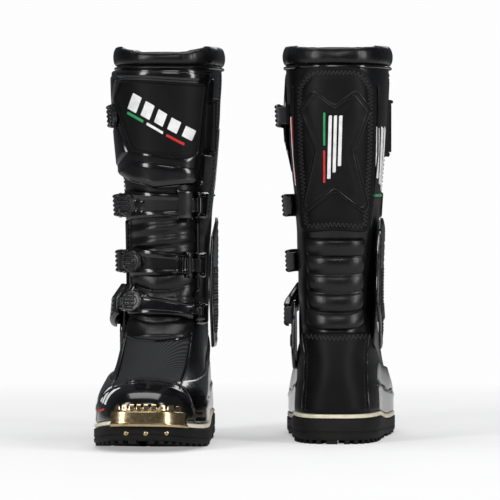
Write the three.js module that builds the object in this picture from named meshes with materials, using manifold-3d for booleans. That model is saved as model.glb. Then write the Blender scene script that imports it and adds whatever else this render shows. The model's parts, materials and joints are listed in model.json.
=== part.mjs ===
// A pair of buckled off-road riding boots, in millimetres, +Z up.
// Each boot is drawn once with its toe towards -Y and its outer side towards -X. The left boot is the same
// boot mirrored front to back, so the pair stands side by side with the toes pointing opposite ways.
import * as THREE from "three";
import { mergeVertices } from "three/addons/utils/BufferGeometryUtils.js";
import Module from "manifold-3d";

const wasm = await Module();
wasm.setup();

// ---- Driving dimensions -------------------------------------------------------------------------

// Overall sizes of one boot
const BOOT_HEIGHT = 415;
const SOLE_LENGTH = 312;
const HEEL_Y = 92;
const TOE_SPRING = 10;
const TOE_SPRING_START_Y = -95;
const FOREFOOT_DROP = 8;
const DROP_START_Y = 30;
const DROP_END_Y = -60;

// The pair on the floor
const PAIR_SPACING = 180;
const RIGHT_TURN_DEG = -6.5;
const LEFT_TURN_DEG = -3.5;

// Half widths of the upper, outside of the leather
const COLLAR_HALF_WIDTH = 54;
const CALF_HALF_WIDTH = 51;
const ANKLE_HALF_WIDTH = 41;
const BALL_HALF_WIDTH = 53;
const WAIST_HALF_WIDTH = ANKLE_HALF_WIDTH + 3;
const HEEL_HALF_WIDTH = ANKLE_HALF_WIDTH + 4;
const TOE_HALF_WIDTH = 48;
const BALL_BULGE = 2;

// Front of the shaft and back of the heel, calf and collar
const SHIN_FRONT_Y = -54;
const CALF_BACK_Y = 92;
const ACHILLES_BACK_Y = 70;

// Sole
const OUTSOLE_THICKNESS = 26;
const WELT_THICKNESS = 4.4;
const SOLE_PROUD = 5;
const ARCH_RELIEF = 4;
const ARCH_FRONT_Y = -45;
const ARCH_BACK_Y = 22;
const FOOTBED_THICKNESS = 4;
const FOOTBED_RECESS = 8;

// Walls and clearances
const CLEARANCE = 0.3;
const LEATHER = 4;
const LINER = 3;
const PANEL = 3;
const PLATE = 3;
const GUARD_METAL = 2;

// Ankle hinge
const ANKLE_Y = 25;
const ANKLE_Z = 105;
const ANKLE_PIN_RADIUS = 5;
const ANKLE_PIN_CLEARANCE = 0.4;
const ANKLE_ARM_RADIUS = 13;
const ANKLE_ARM_ROOT_HALF = 22;
const ANKLE_ARM_ROOT_HEIGHT = 22;
const FOOT_TOP_FRONT_Z = 124;
const FOOT_TOP_BACK_Z = 117;
const SHAFT_FOOT_FRONT_Z = 172;
const SHAFT_FOOT_BACK_Z = 160;

// Collar, shin plate and calf parts, as heights
const COLLAR_HEIGHT = 23;
const COLLAR_PAD = 4;
const SHIN_PLATE_BOTTOM_Z = 268;
const SHIN_PLATE_HALF_WIDTH = 46;
const SHIN_PLATE_LATERAL_EXTRA = 6;
const SHIN_PLATE_STEP_HEIGHT = 51.7;
const SHIN_PLATE_HINGE_RISE = 62;
const SHIN_PLATE_HINGE_HEIGHT = 60;
const SHIN_PLATE_HINGE_DEG = -58;
const TOP_BUCKLE_RISE = 74;
const CALF_PANEL_BOTTOM_Z = 218;
const CALF_PANEL_HALF_WIDTH = 41;
const CALF_PLATE_BOTTOM_Z = 243;
const CALF_PLATE_TOP_GAP = 26;
const CALF_PLATE_HALF_WIDTH = 34;
const CALF_PLATE_WAIST = 19;
const ACHILLES_TOP_Z = 214;
const ACHILLES_HALF_WIDTH = 31;
const ACHILLES_PAD = 5;
const HEEL_COUNTER_Z = 116;
const FOOT_SHELL_Z = 84;
const MEDIAL_GUARD_TOP_Z = 236;
const SHELL_BACK_Y = 30;
const SHELL_DIP_SHARE = 0.2727;

// The lateral shell's flap, as [y, z] corners from the ankle pin
const FLAP_CORNERS = [
  [-49, -27],
  [-15, -33],
  [11, -13],
  [5, 25],
  [-11, 43],
  [-39, 43],
  [-53, 13],
];

// Toe and vamp
const TOE_CAP_LENGTH = 54;
const VAMP_HALF_WIDTH = 33;
const VAMP_TOP_Z = 112;
const TOE_GUARD_HALF_WIDTH = 35;
const TOE_GUARD_HEIGHT = 22;
const TOE_GUARD_TEETH = 7;
const TOE_GUARD_TOOTH = 3;
const INSTEP_HALF_WIDTH = 34;
const INSTEP_TOP_Z = 190;

// Buckles: hinge, lever and catch
const HINGE_PIN_RADIUS = 1.6;
const HINGE_PIN_CLEARANCE = 0.3;
const HINGE_BARREL_RADIUS = 4;
const HINGE_EAR = 4;
const HINGE_ROOM = 2.4;
const STRAP_THICKNESS = 3;
const STRAP_STANDOFF = 4.4;
const LEVER_THICKNESS = 5;
const LEVER_HEIGHT = 26;
const LEVER_STANDOFF = 8.2;
const CATCH_THICKNESS = 2.4;
const CATCH_HOOK = 8;
const CATCH_STANDOFF = 4.4;
const ARM_CATCH_STANDOFF = 3.8;
const CATCH_LENGTH_DEG = 24;
const LEVER_GAP_DEG = 9;
const HOOK_START_DEG = 3;
const HOOK_END_DEG = 8;
const FORK_REACH = 11;
const TONGUE_LENGTH = 12;
const TONGUE_THICKNESS = 5;
const ANCHOR_START_DEG = 16;
const ANCHOR_END_DEG = 8;
const BAND_START_DEG = 9;
const BAND_END_DEG = 7;

const TOP_BUCKLE_Z = SHIN_PLATE_BOTTOM_Z + TOP_BUCKLE_RISE;

// Each fastening: height of the band, how far its lateral end stands above the middle, band height, and the
// angles round the boot of its medial hinge, its lever hinge and the lever's tip (0 is the front, + lateral),
// how far the lever's tip hangs below its hinge, lift 1 where lever and catch sit on the foot's raised flap,
// and the bed that the catch is fixed to
const FASTENINGS = [
  { name: "1", level: TOP_BUCKLE_Z, rise: 0, height: 24, lever: 63, tip: 103, drop: 0, lift: 0, bed: "leather" },
  { name: "2", level: 248, rise: 0, height: 25, medial: -42, lever: 52, tip: 96, drop: 0, lift: 0, bed: "leather" },
  { name: "3", level: 187, rise: 2, height: 24, medial: -44, lever: 46, tip: 92, drop: 0, lift: 0, bed: "arm" },
  { name: "4", level: 138, rise: 5, height: 18, medial: -40, lever: 40, tip: 84, drop: 12, lift: 1, bed: "flap" },
];

// Mesh fineness
const AROUND = 20;
const HINGE_SIDES = 8;
const BAND_STEPS = 5;

// ---- Derived sizes ------------------------------------------------------------------------------

const SOLE_TOP = OUTSOLE_THICKNESS + CLEARANCE + WELT_THICKNESS;
const UPPER_BOTTOM = SOLE_TOP + CLEARANCE;
const TOE_Y = HEEL_Y - SOLE_LENGTH;
const UPPER_TOE_Y = TOE_Y + SOLE_PROUD;
const TOE_CAP_BACK_Y = TOE_Y + TOE_CAP_LENGTH;
const SHELL_DIP_Y = TOE_Y * SHELL_DIP_SHARE;
const UPPER_HEEL_Y = HEEL_Y - SOLE_PROUD;
const COLLAR_BOTTOM = BOOT_HEIGHT - COLLAR_HEIGHT;
const FAR = 400;
const PANEL_IN = CLEARANCE;
const PANEL_OUT = PANEL_IN + PANEL;
const PLATE_IN = PANEL_OUT + CLEARANCE;
const PLATE_OUT = PLATE_IN + PLATE;
const ARM_IN = ANKLE_HALF_WIDTH + CLEARANCE;
const ARM_OUT = ARM_IN + PANEL;
const FLAP_IN = ARM_OUT + CLEARANCE;
const FLAP_OUT = FLAP_IN + PLATE;
const ARM_ROOT_TOP_Z = SHAFT_FOOT_BACK_Z + ANKLE_ARM_ROOT_HEIGHT;
const GUARD_JOIN_Z = ARM_ROOT_TOP_Z + 2;
const FLAP_LIFT = FLAP_OUT - ANKLE_HALF_WIDTH - PANEL - CLEARANCE;

// ---- Small helpers ------------------------------------------------------------------------------

// A smooth function through [input, output] pairs, flat beyond both ends.
function curveThrough(points) {
  const slopes = points.map((point, i) => {
    const before = points[Math.max(i - 1, 0)];
    const after = points[Math.min(i + 1, points.length - 1)];
    return i === 0 || i === points.length - 1 ? 0 : (after[1] - before[1]) / (after[0] - before[0]);
  });
  return (input) => {
    const last = points.length - 1;
    if (input <= points[0][0]) return points[0][1];
    if (input >= points[last][0]) return points[last][1];
    const i = points.findIndex((point) => point[0] > input) - 1;
    const span = points[i + 1][0] - points[i][0];
    const t = (input - points[i][0]) / span;
    const rest = 1 - t;
    const value = (1 + 2 * t) * rest * rest * points[i][1] + t * t * (3 - 2 * t) * points[i + 1][1];
    return value + span * (t * rest * rest * slopes[i] - t * t * rest * slopes[i + 1]);
  };
}

// A three.js geometry as a solid that can be joined and cut.
function solidOf(geometry) {
  const plain = geometry.clone();
  plain.deleteAttribute("normal");
  plain.deleteAttribute("uv");
  const merged = mergeVertices(plain, 1e-4);
  const vertProperties = new Float32Array(merged.attributes.position.array);
  const triVerts = new Uint32Array(merged.index.array);
  return new wasm.Manifold(new wasm.Mesh({ numProp: 3, vertProperties, triVerts }));
}

// A solid as a three.js geometry.
function geometryOf(solid) {
  const mesh = solid.getMesh();
  const positions = new Float32Array(mesh.numVert * 3);
  for (let i = 0; i < mesh.numVert; i++) {
    for (let k = 0; k < 3; k++) positions[3 * i + k] = mesh.vertProperties[mesh.numProp * i + k];
  }
  const geometry = new THREE.BufferGeometry();
  geometry.setAttribute("position", new THREE.BufferAttribute(positions, 3));
  geometry.setIndex(Array.from(mesh.triVerts));
  geometry.computeVertexNormals();
  return geometry;
}

// A closed solid through rings of points that all run the same way, with a flat cap at both ends.
function loft(rings) {
  const count = rings[0].length;
  const positions = rings.flat().flatMap((point) => point.toArray());
  const index = [];
  for (let r = 0; r < rings.length - 1; r++) {
    for (let i = 0; i < count; i++) {
      const a = r * count + i;
      const b = r * count + ((i + 1) % count);
      index.push(a, b, b + count, a, b + count, a + count);
    }
  }
  const top = (rings.length - 1) * count;
  for (let i = 1; i < count - 1; i++) {
    index.push(0, i + 1, i, top, top + i, top + i + 1);
  }
  const geometry = new THREE.BufferGeometry();
  geometry.setAttribute("position", new THREE.Float32BufferAttribute(positions, 3));
  geometry.setIndex(index);
  const solid = solidOf(geometry);
  return solid.volume() > 0 ? solid : solidOf(flipped(geometry));
}

function flipped(geometry) {
  const copy = geometry.clone();
  copy.setIndex(Array.from(geometry.index.array).reverse());
  return copy;
}

// Where an outline's own axes and its extrusion go, for an outline drawn from each side.
const VIEWS = {
  side: new THREE.Matrix4().makeBasis(
    new THREE.Vector3(0, 1, 0),
    new THREE.Vector3(0, 0, 1),
    new THREE.Vector3(1, 0, 0),
  ),
  front: new THREE.Matrix4().makeBasis(
    new THREE.Vector3(1, 0, 0),
    new THREE.Vector3(0, 0, 1),
    new THREE.Vector3(0, -1, 0),
  ),
  plan: new THREE.Matrix4(),
};

// An outline extruded along the axis it is seen along: x for side, y for front, z for plan.
function prism(view, outline, low, high) {
  const drawn = outline instanceof THREE.Shape;
  const shape = drawn ? outline : new THREE.Shape(outline.map(([a, b]) => new THREE.Vector2(a, b)));
  const geometry = new THREE.ExtrudeGeometry(shape, { depth: high - low, bevelEnabled: false, curveSegments: 6 });
  geometry.translate(0, 0, view === "front" ? -high : low);
  geometry.applyMatrix4(VIEWS[view]);
  return solidOf(geometry);
}

// An upright cylinder with its middle at a point.
function post(radius, height, centre) {
  const geometry = new THREE.CylinderGeometry(radius, radius, height, HINGE_SIDES);
  geometry.rotateX(Math.PI / 2);
  geometry.translate(centre.x, centre.y, centre.z);
  return solidOf(geometry);
}

// A box from its own middle, turned about the vertical by an angle.
function block(size, centre, turn) {
  const geometry = new THREE.BoxGeometry(...size);
  geometry.rotateZ(turn);
  geometry.translate(centre.x, centre.y, centre.z);
  return solidOf(geometry);
}

// ---- The upper's surface ------------------------------------------------------------------------

// Where the instep's front lies between the shin and the toe, by height above the sole plane.
const instepShare = curveThrough([
  [UPPER_BOTTOM + 14, 1],
  [54, 0.965],
  [61, 0.9],
  [67, 0.8],
  [73, 0.68],
  [81, 0.545],
  [92, 0.4],
  [106, 0.25],
  [122, 0.12],
  [140, 0.04],
  [160, 0],
]);
const shinLean = curveThrough([
  [180, 0],
  [290, -4],
  [COLLAR_BOTTOM, -9],
]);
const backOf = curveThrough([
  [60, UPPER_HEEL_Y],
  [90, UPPER_HEEL_Y - 4],
  [116, ACHILLES_BACK_Y + 6],
  [142, ACHILLES_BACK_Y + 1],
  [168, ACHILLES_BACK_Y],
  [205, ACHILLES_BACK_Y + 5],
  [245, ACHILLES_BACK_Y + 12],
  [290, CALF_BACK_Y - 3],
  [335, CALF_BACK_Y],
  [COLLAR_BOTTOM - 15, CALF_BACK_Y - 3],
  [BOOT_HEIGHT, CALF_BACK_Y - 7],
]);
const shaftHalfWidth = curveThrough([
  [150, ANKLE_HALF_WIDTH],
  [195, ANKLE_HALF_WIDTH + 1],
  [245, ANKLE_HALF_WIDTH + 3.5],
  [300, CALF_HALF_WIDTH - 2],
  [345, CALF_HALF_WIDTH + 1],
  [COLLAR_BOTTOM, COLLAR_HALF_WIDTH],
]);
const squareness = curveThrough([
  [UPPER_BOTTOM, 3.2],
  [50, 2.9],
  [66, 2.5],
  [84, 2.3],
  [105, 2.4],
  [150, 2.5],
  [300, 2.4],
  [BOOT_HEIGHT, 2.5],
]);
// 1 where the plan is the foot's, 0 where it is the shaft's oval
const footShare = curveThrough([
  [50, 1],
  [70, 0.55],
  [90, 0],
]);
const footHalfWidth = curveThrough([
  [UPPER_TOE_Y, TOE_HALF_WIDTH],
  [UPPER_TOE_Y + 60, BALL_HALF_WIDTH - 1],
  [UPPER_TOE_Y + 105, BALL_HALF_WIDTH],
  [-10, WAIST_HALF_WIDTH],
  [45, HEEL_HALF_WIDTH],
  [UPPER_HEEL_Y, HEEL_HALF_WIDTH],
]);
const instepHalfWidth = curveThrough([
  [UPPER_TOE_Y, BALL_HALF_WIDTH],
  [-80, BALL_HALF_WIDTH - 4],
  [0, ANKLE_HALF_WIDTH],
]);

// How far the sole and everything on it rises towards the toe.
function toeRise(y) {
  const share = Math.max(0, (TOE_SPRING_START_Y - y) / (TOE_SPRING_START_Y - TOE_Y));
  return TOE_SPRING * share * share;
}

// How far the tread's top drops from the heel to the forefoot.
const forefootDrop = curveThrough([
  [DROP_END_Y, FOREFOOT_DROP],
  [DROP_START_Y, 0],
]);
// The upper follows that drop in full at the sole, and not at all above the instep.
const dropShare = curveThrough([
  [50, 1],
  [135, 0],
]);

function signedPower(value, power) {
  return Math.sign(value) * Math.abs(value) ** power;
}

// A point on the outside of the leather. The angle runs round the boot from the front, + towards lateral.
function leatherPoint(angle, level) {
  const power = 2 / squareness(level);
  const front = SHIN_FRONT_Y + shinLean(level) + instepShare(level) * (UPPER_TOE_Y - SHIN_FRONT_Y);
  const back = backOf(level);
  const along = signedPower(Math.cos(angle), power);
  const across = signedPower(Math.sin(angle), power);
  const y = (front + back) / 2 - (along * (back - front)) / 2;
  const foot = footShare(level);
  const shaft = Math.max(shaftHalfWidth(level), level < 150 ? instepHalfWidth(y) : 0);
  const bulge = BALL_BULGE * Math.sin(Math.PI * Math.min(1, Math.max(0, (y - UPPER_TOE_Y) / -UPPER_TOE_Y)));
  const half = foot * (footHalfWidth(y) + (angle > 0 ? bulge : 0)) + (1 - foot) * shaft;
  return new THREE.Vector3(-across * half, y, level + toeRise(y) - forefootDrop(y) * dropShare(level));
}

// The same point moved out along the surface's normal.
function skinPoint(angle, level, offset) {
  const step = 1e-3;
  const reach = 0.5;
  const round = leatherPoint(angle + step, level).sub(leatherPoint(angle - step, level));
  const up = leatherPoint(angle, level + reach).sub(leatherPoint(angle, level - reach));
  const normal = new THREE.Vector3().crossVectors(up, round).normalize();
  return leatherPoint(angle, level).addScaledVector(normal, offset);
}

const LEVELS = [20, 40, 52, 61, 70, 82, 98, 114, 130, 146, 162, 180, 215, 258, 305, 355, BOOT_HEIGHT + 12];

// Everything inside the surface that lies at an offset from the leather's outside.
const cores = new Map();
function core(offset) {
  if (!cores.has(offset)) {
    const rings = LEVELS.map((level) =>
      Array.from({ length: AROUND }, (_, i) => skinPoint((2 * Math.PI * i) / AROUND + 1e-5, level, offset)),
    );
    cores.set(offset, loft(rings));
  }
  return cores.get(offset);
}

// The wall between two offsets.
function wall(inner, outer) {
  return core(outer).subtract(core(inner));
}

// ---- Cutting outlines ---------------------------------------------------------------------------

// The sole's side profile as a run of [y, z] points, heel first: the tread's own bottom at height 0, and
// above it a line at a height over the heel that drops to the forefoot.
function soleLine(height) {
  const steps = 5;
  const points = [[FAR, height]];
  const reach = [[DROP_START_Y, DROP_END_Y], [TOE_SPRING_START_Y, TOE_Y]];
  for (const [from, to] of reach) {
    for (let i = 0; i <= steps; i++) {
      const y = from + ((to - from) * i) / steps;
      points.push([y, height + toeRise(y) - (height > 0 ? forefootDrop(y) : 0)]);
    }
  }
  const end = points[points.length - 1];
  return [...points, [end[0] - 20, end[1] + 2]];
}

// Everything above the sole line at a height.
function aboveSole(height) {
  return prism("side", [...soleLine(height), [-FAR, 2 * FAR], [FAR, 2 * FAR]], -FAR, FAR);
}

// Everything between two heights above the sole plane.
function soleSlab(low, high) {
  return prism("side", [...soleLine(low), ...soleLine(high).reverse()], -FAR, FAR);
}

// The foot's outline on the floor, grown by a margin.
function footOutline(margin) {
  const count = 36;
  return Array.from({ length: count }, (_, i) => {
    const point = skinPoint((2 * Math.PI * (i + 0.5)) / count, UPPER_BOTTOM, margin);
    return [point.x, point.y];
  });
}

// The half of space below or above the line between the foot's upper and the shaft.
function ankleCut(frontZ, backZ, keep) {
  const slope = (frontZ - backZ) / (SHIN_FRONT_Y - ACHILLES_BACK_Y);
  const front = [-FAR, backZ + slope * (-FAR - ACHILLES_BACK_Y)];
  const back = [FAR, backZ + slope * (FAR - ACHILLES_BACK_Y)];
  const beyond = keep === "above" ? 3 * FAR : -3 * FAR;
  return prism("side", [front, back, [FAR, beyond], [-FAR, beyond]], -FAR, FAR);
}

// ---- Hinges on the surface ----------------------------------------------------------------------

// The place and the directions at a spot on the surface: out of it and round it.
function spot(angleDeg, level, offset) {
  const angle = THREE.MathUtils.degToRad(angleDeg);
  const point = skinPoint(angle, level, offset);
  const ahead = skinPoint(angle + 0.02, level, offset).sub(skinPoint(angle - 0.02, level, offset));
  return { point, turn: Math.atan2(ahead.y, ahead.x) };
}

// A fork with its pin, upright, whose block reaches back by a length at a turn.
function fork(centre, height, reach, turn) {
  const ear = HINGE_BARREL_RADIUS * 2;
  const middle = centre.clone().add(new THREE.Vector3(Math.cos(turn), Math.sin(turn), 0).multiplyScalar(reach / 2));
  const gap = height - 2 * HINGE_EAR;
  const body = post(HINGE_BARREL_RADIUS, height, centre).add(block([Math.abs(reach), ear, height], middle, turn));
  const room = post(HINGE_BARREL_RADIUS + HINGE_ROOM, gap, centre);
  return body.subtract(room).add(post(HINGE_PIN_RADIUS, height, centre));
}

// The barrel that turns between the ears of a fork.
function eye(centre, height) {
  return post(HINGE_BARREL_RADIUS, height - 2 * HINGE_EAR - 2 * CLEARANCE, centre);
}

// A barrel with the tongue that joins it to its band, lever or plate.
function tongueOf(centre, length, height, turn) {
  const ahead = new THREE.Vector3(Math.cos(turn), Math.sin(turn), 0).multiplyScalar(length / 2);
  const eyeHeight = height - 2 * HINGE_EAR - 2 * CLEARANCE;
  return block([length, TONGUE_THICKNESS, eyeHeight], centre.clone().add(ahead), turn).add(eye(centre, height));
}

function pinHole(centre, height) {
  return post(HINGE_PIN_RADIUS + HINGE_PIN_CLEARANCE, height + 2, centre);
}

// A band on the surface between two angles: rings of four corners.
function band(from, to, level, rise, height, inner, outer) {
  const rings = [];
  for (let i = 0; i <= BAND_STEPS; i++) {
    const share = i / BAND_STEPS;
    const angle = THREE.MathUtils.degToRad(from + (to - from) * share);
    const middle = level + rise * (2 * share - 1);
    rings.push([
      skinPoint(angle, middle - height / 2, inner),
      skinPoint(angle, middle - height / 2, outer),
      skinPoint(angle, middle + height / 2, outer),
      skinPoint(angle, middle + height / 2, inner),
    ]);
  }
  return loft(rings);
}

// ---- Materials ----------------------------------------------------------------------------------

function material(color, roughness, metalness = 0) {
  return new THREE.MeshStandardMaterial({ color, roughness, metalness });
}

const blackGloss = material(0x101112, 0.18);
const blackMatte = material(0x1a1b1c, 0.7);
const leather = material(0x161616, 0.42);
const vampMesh = material(0x2a2b2d, 0.6);
const soleRubber = material(0x131313, 0.8);
const creamRubber = material(0xd8cfb4, 0.6);
const gold = material(0xb08a4a, 0.3, 1);
const foam = material(0x2e2e30, 0.9);
const steel = material(0x8a8c8f, 0.35, 1);

// ---- Foot ---------------------------------------------------------------------------------------

function outsole() {
  const arch = [
    [ARCH_FRONT_Y, -1],
    [ARCH_FRONT_Y + ARCH_RELIEF, ARCH_RELIEF],
    [ARCH_BACK_Y - ARCH_RELIEF, ARCH_RELIEF],
    [ARCH_BACK_Y, -1],
  ];
  return prism("plan", footOutline(SOLE_PROUD), -1, FAR)
    .intersect(soleSlab(0, OUTSOLE_THICKNESS))
    .subtract(prism("side", arch, -FAR, FAR));
}

function welt() {
  return prism("plan", footOutline(SOLE_PROUD - 1), -1, FAR).intersect(
    soleSlab(OUTSOLE_THICKNESS + CLEARANCE, SOLE_TOP),
  );
}

function footbed() {
  const low = UPPER_BOTTOM + LEATHER + CLEARANCE;
  return prism("plan", footOutline(-FOOTBED_RECESS), -1, FAR).intersect(soleSlab(low, low + FOOTBED_THICKNESS));
}

// The two ankle pins stand on the outside of the foot's upper.
function anklePins() {
  const geometry = new THREE.CylinderGeometry(ANKLE_PIN_RADIUS, ANKLE_PIN_RADIUS, 2 * ARM_OUT, 2 * HINGE_SIDES);
  geometry.rotateZ(Math.PI / 2);
  geometry.translate(0, ANKLE_Y, ANKLE_Z);
  return solidOf(geometry);
}

function footUpper() {
  const cavity = core(-LEATHER).intersect(aboveSole(UPPER_BOTTOM + LEATHER));
  const outer = core(0).intersect(aboveSole(UPPER_BOTTOM)).add(anklePins());
  const strap = FASTENINGS[3];
  return outer
    .subtract(cavity)
    .intersect(ankleCut(FOOT_TOP_FRONT_Z, FOOT_TOP_BACK_Z, "below"))
    .add(strapAnchor(strap));
}

function vampPanel() {
  const outline = [
    [-VAMP_HALF_WIDTH, TOE_CAP_BACK_Y + CLEARANCE],
    [VAMP_HALF_WIDTH, TOE_CAP_BACK_Y + CLEARANCE],
    [VAMP_HALF_WIDTH, 0],
    [-VAMP_HALF_WIDTH, 0],
  ];
  return wall(PANEL_IN, PANEL_OUT)
    .intersect(prism("plan", outline, 50, FAR))
    .intersect(prism("side", [[-FAR, 0], [0, 0], [0, VAMP_TOP_Z - 12], [-FAR, VAMP_TOP_Z - 12]], -FAR, FAR));
}

function toeCap() {
  return wall(PANEL_IN, PANEL_OUT)
    .intersect(aboveSole(UPPER_BOTTOM))
    .intersect(prism("side", [[-FAR, 0], [TOE_CAP_BACK_Y, 0], [TOE_CAP_BACK_Y, FAR], [-FAR, FAR]], -FAR, FAR));
}

function toeGuard() {
  const bottom = UPPER_BOTTOM + TOE_SPRING - FOREFOOT_DROP + 1;
  const top = bottom + TOE_GUARD_HEIGHT;
  const pitch = (2 * TOE_GUARD_HALF_WIDTH) / TOE_GUARD_TEETH;
  const outline = [[-TOE_GUARD_HALF_WIDTH, bottom], [TOE_GUARD_HALF_WIDTH, bottom]];
  for (let i = TOE_GUARD_TEETH; i > 0; i--) {
    const right = -TOE_GUARD_HALF_WIDTH + i * pitch;
    outline.push([right, top - TOE_GUARD_TOOTH], [right - pitch * 0.2, top]);
    outline.push([right - pitch * 0.8, top], [right - pitch, top - TOE_GUARD_TOOTH]);
  }
  const differs = (point, other) => point[0] !== other[0] || point[1] !== other[1];
  const tidy = outline.filter((point, i) => i === 0 || differs(point, outline[i - 1]));
  return wall(PLATE_IN, PLATE_IN + GUARD_METAL).intersect(prism("front", tidy, -FAR, TOE_CAP_BACK_Y - 2));
}

// The shell along one side of the foot, from behind the toe cap to the heel counter.
function footShell(side) {
  const outline = [
    [TOE_CAP_BACK_Y + CLEARANCE, 0],
    [SHELL_BACK_Y, 0],
    [SHELL_BACK_Y, FOOT_SHELL_Z - 6],
    [SHELL_BACK_Y - 20, FOOT_SHELL_Z],
    [SHELL_DIP_Y, FOOT_SHELL_Z - 4],
    [TOE_CAP_BACK_Y + CLEARANCE, FOOT_SHELL_Z - 12],
  ];
  const reach = side > 0 ? [VAMP_HALF_WIDTH + CLEARANCE, FAR] : [-FAR, -VAMP_HALF_WIDTH - CLEARANCE];
  return wall(PANEL_IN, PANEL_OUT).intersect(aboveSole(UPPER_BOTTOM)).intersect(prism("side", outline, ...reach));
}

// The lateral shell carries a flat flap outside the ankle arm, which holds the lowest catch.
function lateralFootShell() {
  const flap = FLAP_CORNERS.map(([y, z]) => [ANKLE_Y + y, ANKLE_Z + z]);
  const plate = prism("side", flap, -FLAP_OUT, -FLAP_IN);
  return footShell(-1).add(plate);
}

function heelCounter() {
  const outline = [
    [SHELL_BACK_Y + CLEARANCE, 0],
    [FAR, 0],
    [FAR, HEEL_COUNTER_Z],
    [ACHILLES_BACK_Y - 8, HEEL_COUNTER_Z],
    [SHELL_BACK_Y + 18, FOOT_SHELL_Z],
    [SHELL_BACK_Y + CLEARANCE, FOOT_SHELL_Z - 6],
  ];
  return wall(PANEL_IN, PANEL_OUT).intersect(aboveSole(UPPER_BOTTOM)).intersect(prism("side", outline, -FAR, FAR));
}

// ---- Ankle, which folds -------------------------------------------------------------------------

function instepBellows() {
  const outline = [
    [-INSTEP_HALF_WIDTH, VAMP_TOP_Z - 10],
    [INSTEP_HALF_WIDTH, VAMP_TOP_Z - 10],
    [INSTEP_HALF_WIDTH, INSTEP_TOP_Z],
    [-INSTEP_HALF_WIDTH, INSTEP_TOP_Z],
  ];
  return wall(PANEL_IN, PANEL_OUT).intersect(prism("front", outline, -FAR, 0));
}

function achillesBellows() {
  const outline = [
    [-ACHILLES_HALF_WIDTH, HEEL_COUNTER_Z + CLEARANCE],
    [ACHILLES_HALF_WIDTH, HEEL_COUNTER_Z + CLEARANCE],
    [ACHILLES_HALF_WIDTH, ACHILLES_TOP_Z],
    [-ACHILLES_HALF_WIDTH, ACHILLES_TOP_Z],
  ];
  return wall(PANEL_IN, PANEL_IN + ACHILLES_PAD).intersect(prism("front", outline, 20, FAR));
}

function ankleLiner() {
  const outer = -LEATHER - CLEARANCE;
  return wall(outer - LINER, outer)
    .intersect(ankleCut(FOOT_TOP_FRONT_Z - 22, FOOT_TOP_BACK_Z - 22, "above"))
    .intersect(ankleCut(SHAFT_FOOT_FRONT_Z + 22, SHAFT_FOOT_BACK_Z + 22, "below"));
}

// ---- Shaft --------------------------------------------------------------------------------------

// The arm that hangs from the shaft on one side and turns on the ankle pin.
function ankleArm(side) {
  const shape = new THREE.Shape();
  const rootZ = ARM_ROOT_TOP_Z;
  shape.moveTo(ANKLE_Y - ANKLE_ARM_ROOT_HALF, rootZ);
  shape.lineTo(ANKLE_Y - ANKLE_ARM_RADIUS, ANKLE_Z);
  shape.absarc(ANKLE_Y, ANKLE_Z, ANKLE_ARM_RADIUS, Math.PI, 2 * Math.PI, false);
  shape.lineTo(ANKLE_Y + ANKLE_ARM_ROOT_HALF, rootZ);
  const root = [
    [ANKLE_Y - ANKLE_ARM_ROOT_HALF, rootZ],
    [ANKLE_Y - ANKLE_ARM_ROOT_HALF, rootZ - ANKLE_ARM_ROOT_HEIGHT / 2],
    [ANKLE_Y + ANKLE_ARM_ROOT_HALF, rootZ - ANKLE_ARM_ROOT_HEIGHT / 2],
    [ANKLE_Y + ANKLE_ARM_ROOT_HALF, rootZ],
  ];
  const hole = new THREE.CylinderGeometry(
    ANKLE_PIN_RADIUS + ANKLE_PIN_CLEARANCE,
    ANKLE_PIN_RADIUS + ANKLE_PIN_CLEARANCE,
    4 * FAR,
    2 * HINGE_SIDES,
  );
  hole.rotateZ(Math.PI / 2);
  hole.translate(0, ANKLE_Y, ANKLE_Z);
  const span = (low, high) => (side > 0 ? [low, high] : [-high, -low]);
  return prism("side", shape, ...span(ARM_IN, ARM_OUT))
    .subtract(solidOf(hole))
    .add(prism("side", root, ...span(ANKLE_HALF_WIDTH - LEATHER / 2, ARM_OUT)));
}

// The fork on the boot that one band's medial end turns in.
function strapAnchor(strap) {
  const level = strap.level - strap.rise;
  const { point, turn } = spot(strap.medial, level, hingeOffset(strap));
  const [start, end] = [strap.medial - ANCHOR_START_DEG, strap.medial - ANCHOR_END_DEG];
  const foot = band(start, end, level, 0, strap.height, -1, hingeOffset(strap) + 2);
  return fork(point, strap.height, -FORK_REACH, turn).subtract(core(PANEL_OUT + CLEARANCE)).add(foot);
}

function strapStandoff(strap) {
  return STRAP_STANDOFF + strap.lift * FLAP_LIFT;
}

function hingeOffset(strap) {
  return strapStandoff(strap) + HINGE_BARREL_RADIUS;
}

function shaftUpper() {
  const top = COLLAR_BOTTOM - CLEARANCE;
  const belowCollar = [[-FAR, 0], [FAR, 0], [FAR, top], [-FAR, top]];
  const tube = wall(-LEATHER, 0)
    .intersect(ankleCut(SHAFT_FOOT_FRONT_Z, SHAFT_FOOT_BACK_Z, "above"))
    .intersect(prism("front", belowCollar, -FAR, FAR));
  return tube
    .add(ankleArm(1))
    .add(ankleArm(-1))
    .add(strapAnchor(FASTENINGS[1]))
    .add(strapAnchor(FASTENINGS[2]))
    .add(plateAnchor());
}

function calfPanel() {
  const top = COLLAR_BOTTOM - CLEARANCE;
  const outline = [
    [-CALF_PANEL_HALF_WIDTH + 6, CALF_PANEL_BOTTOM_Z],
    [CALF_PANEL_HALF_WIDTH - 6, CALF_PANEL_BOTTOM_Z],
    [CALF_PANEL_HALF_WIDTH, top - 40],
    [CALF_PANEL_HALF_WIDTH, top - 8],
    [CALF_PANEL_HALF_WIDTH / 2, top],
    [-CALF_PANEL_HALF_WIDTH / 2, top],
    [-CALF_PANEL_HALF_WIDTH, top - 8],
    [-CALF_PANEL_HALF_WIDTH, top - 40],
  ];
  return wall(PANEL_IN, PANEL_OUT).intersect(prism("front", outline, 20, FAR));
}

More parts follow.
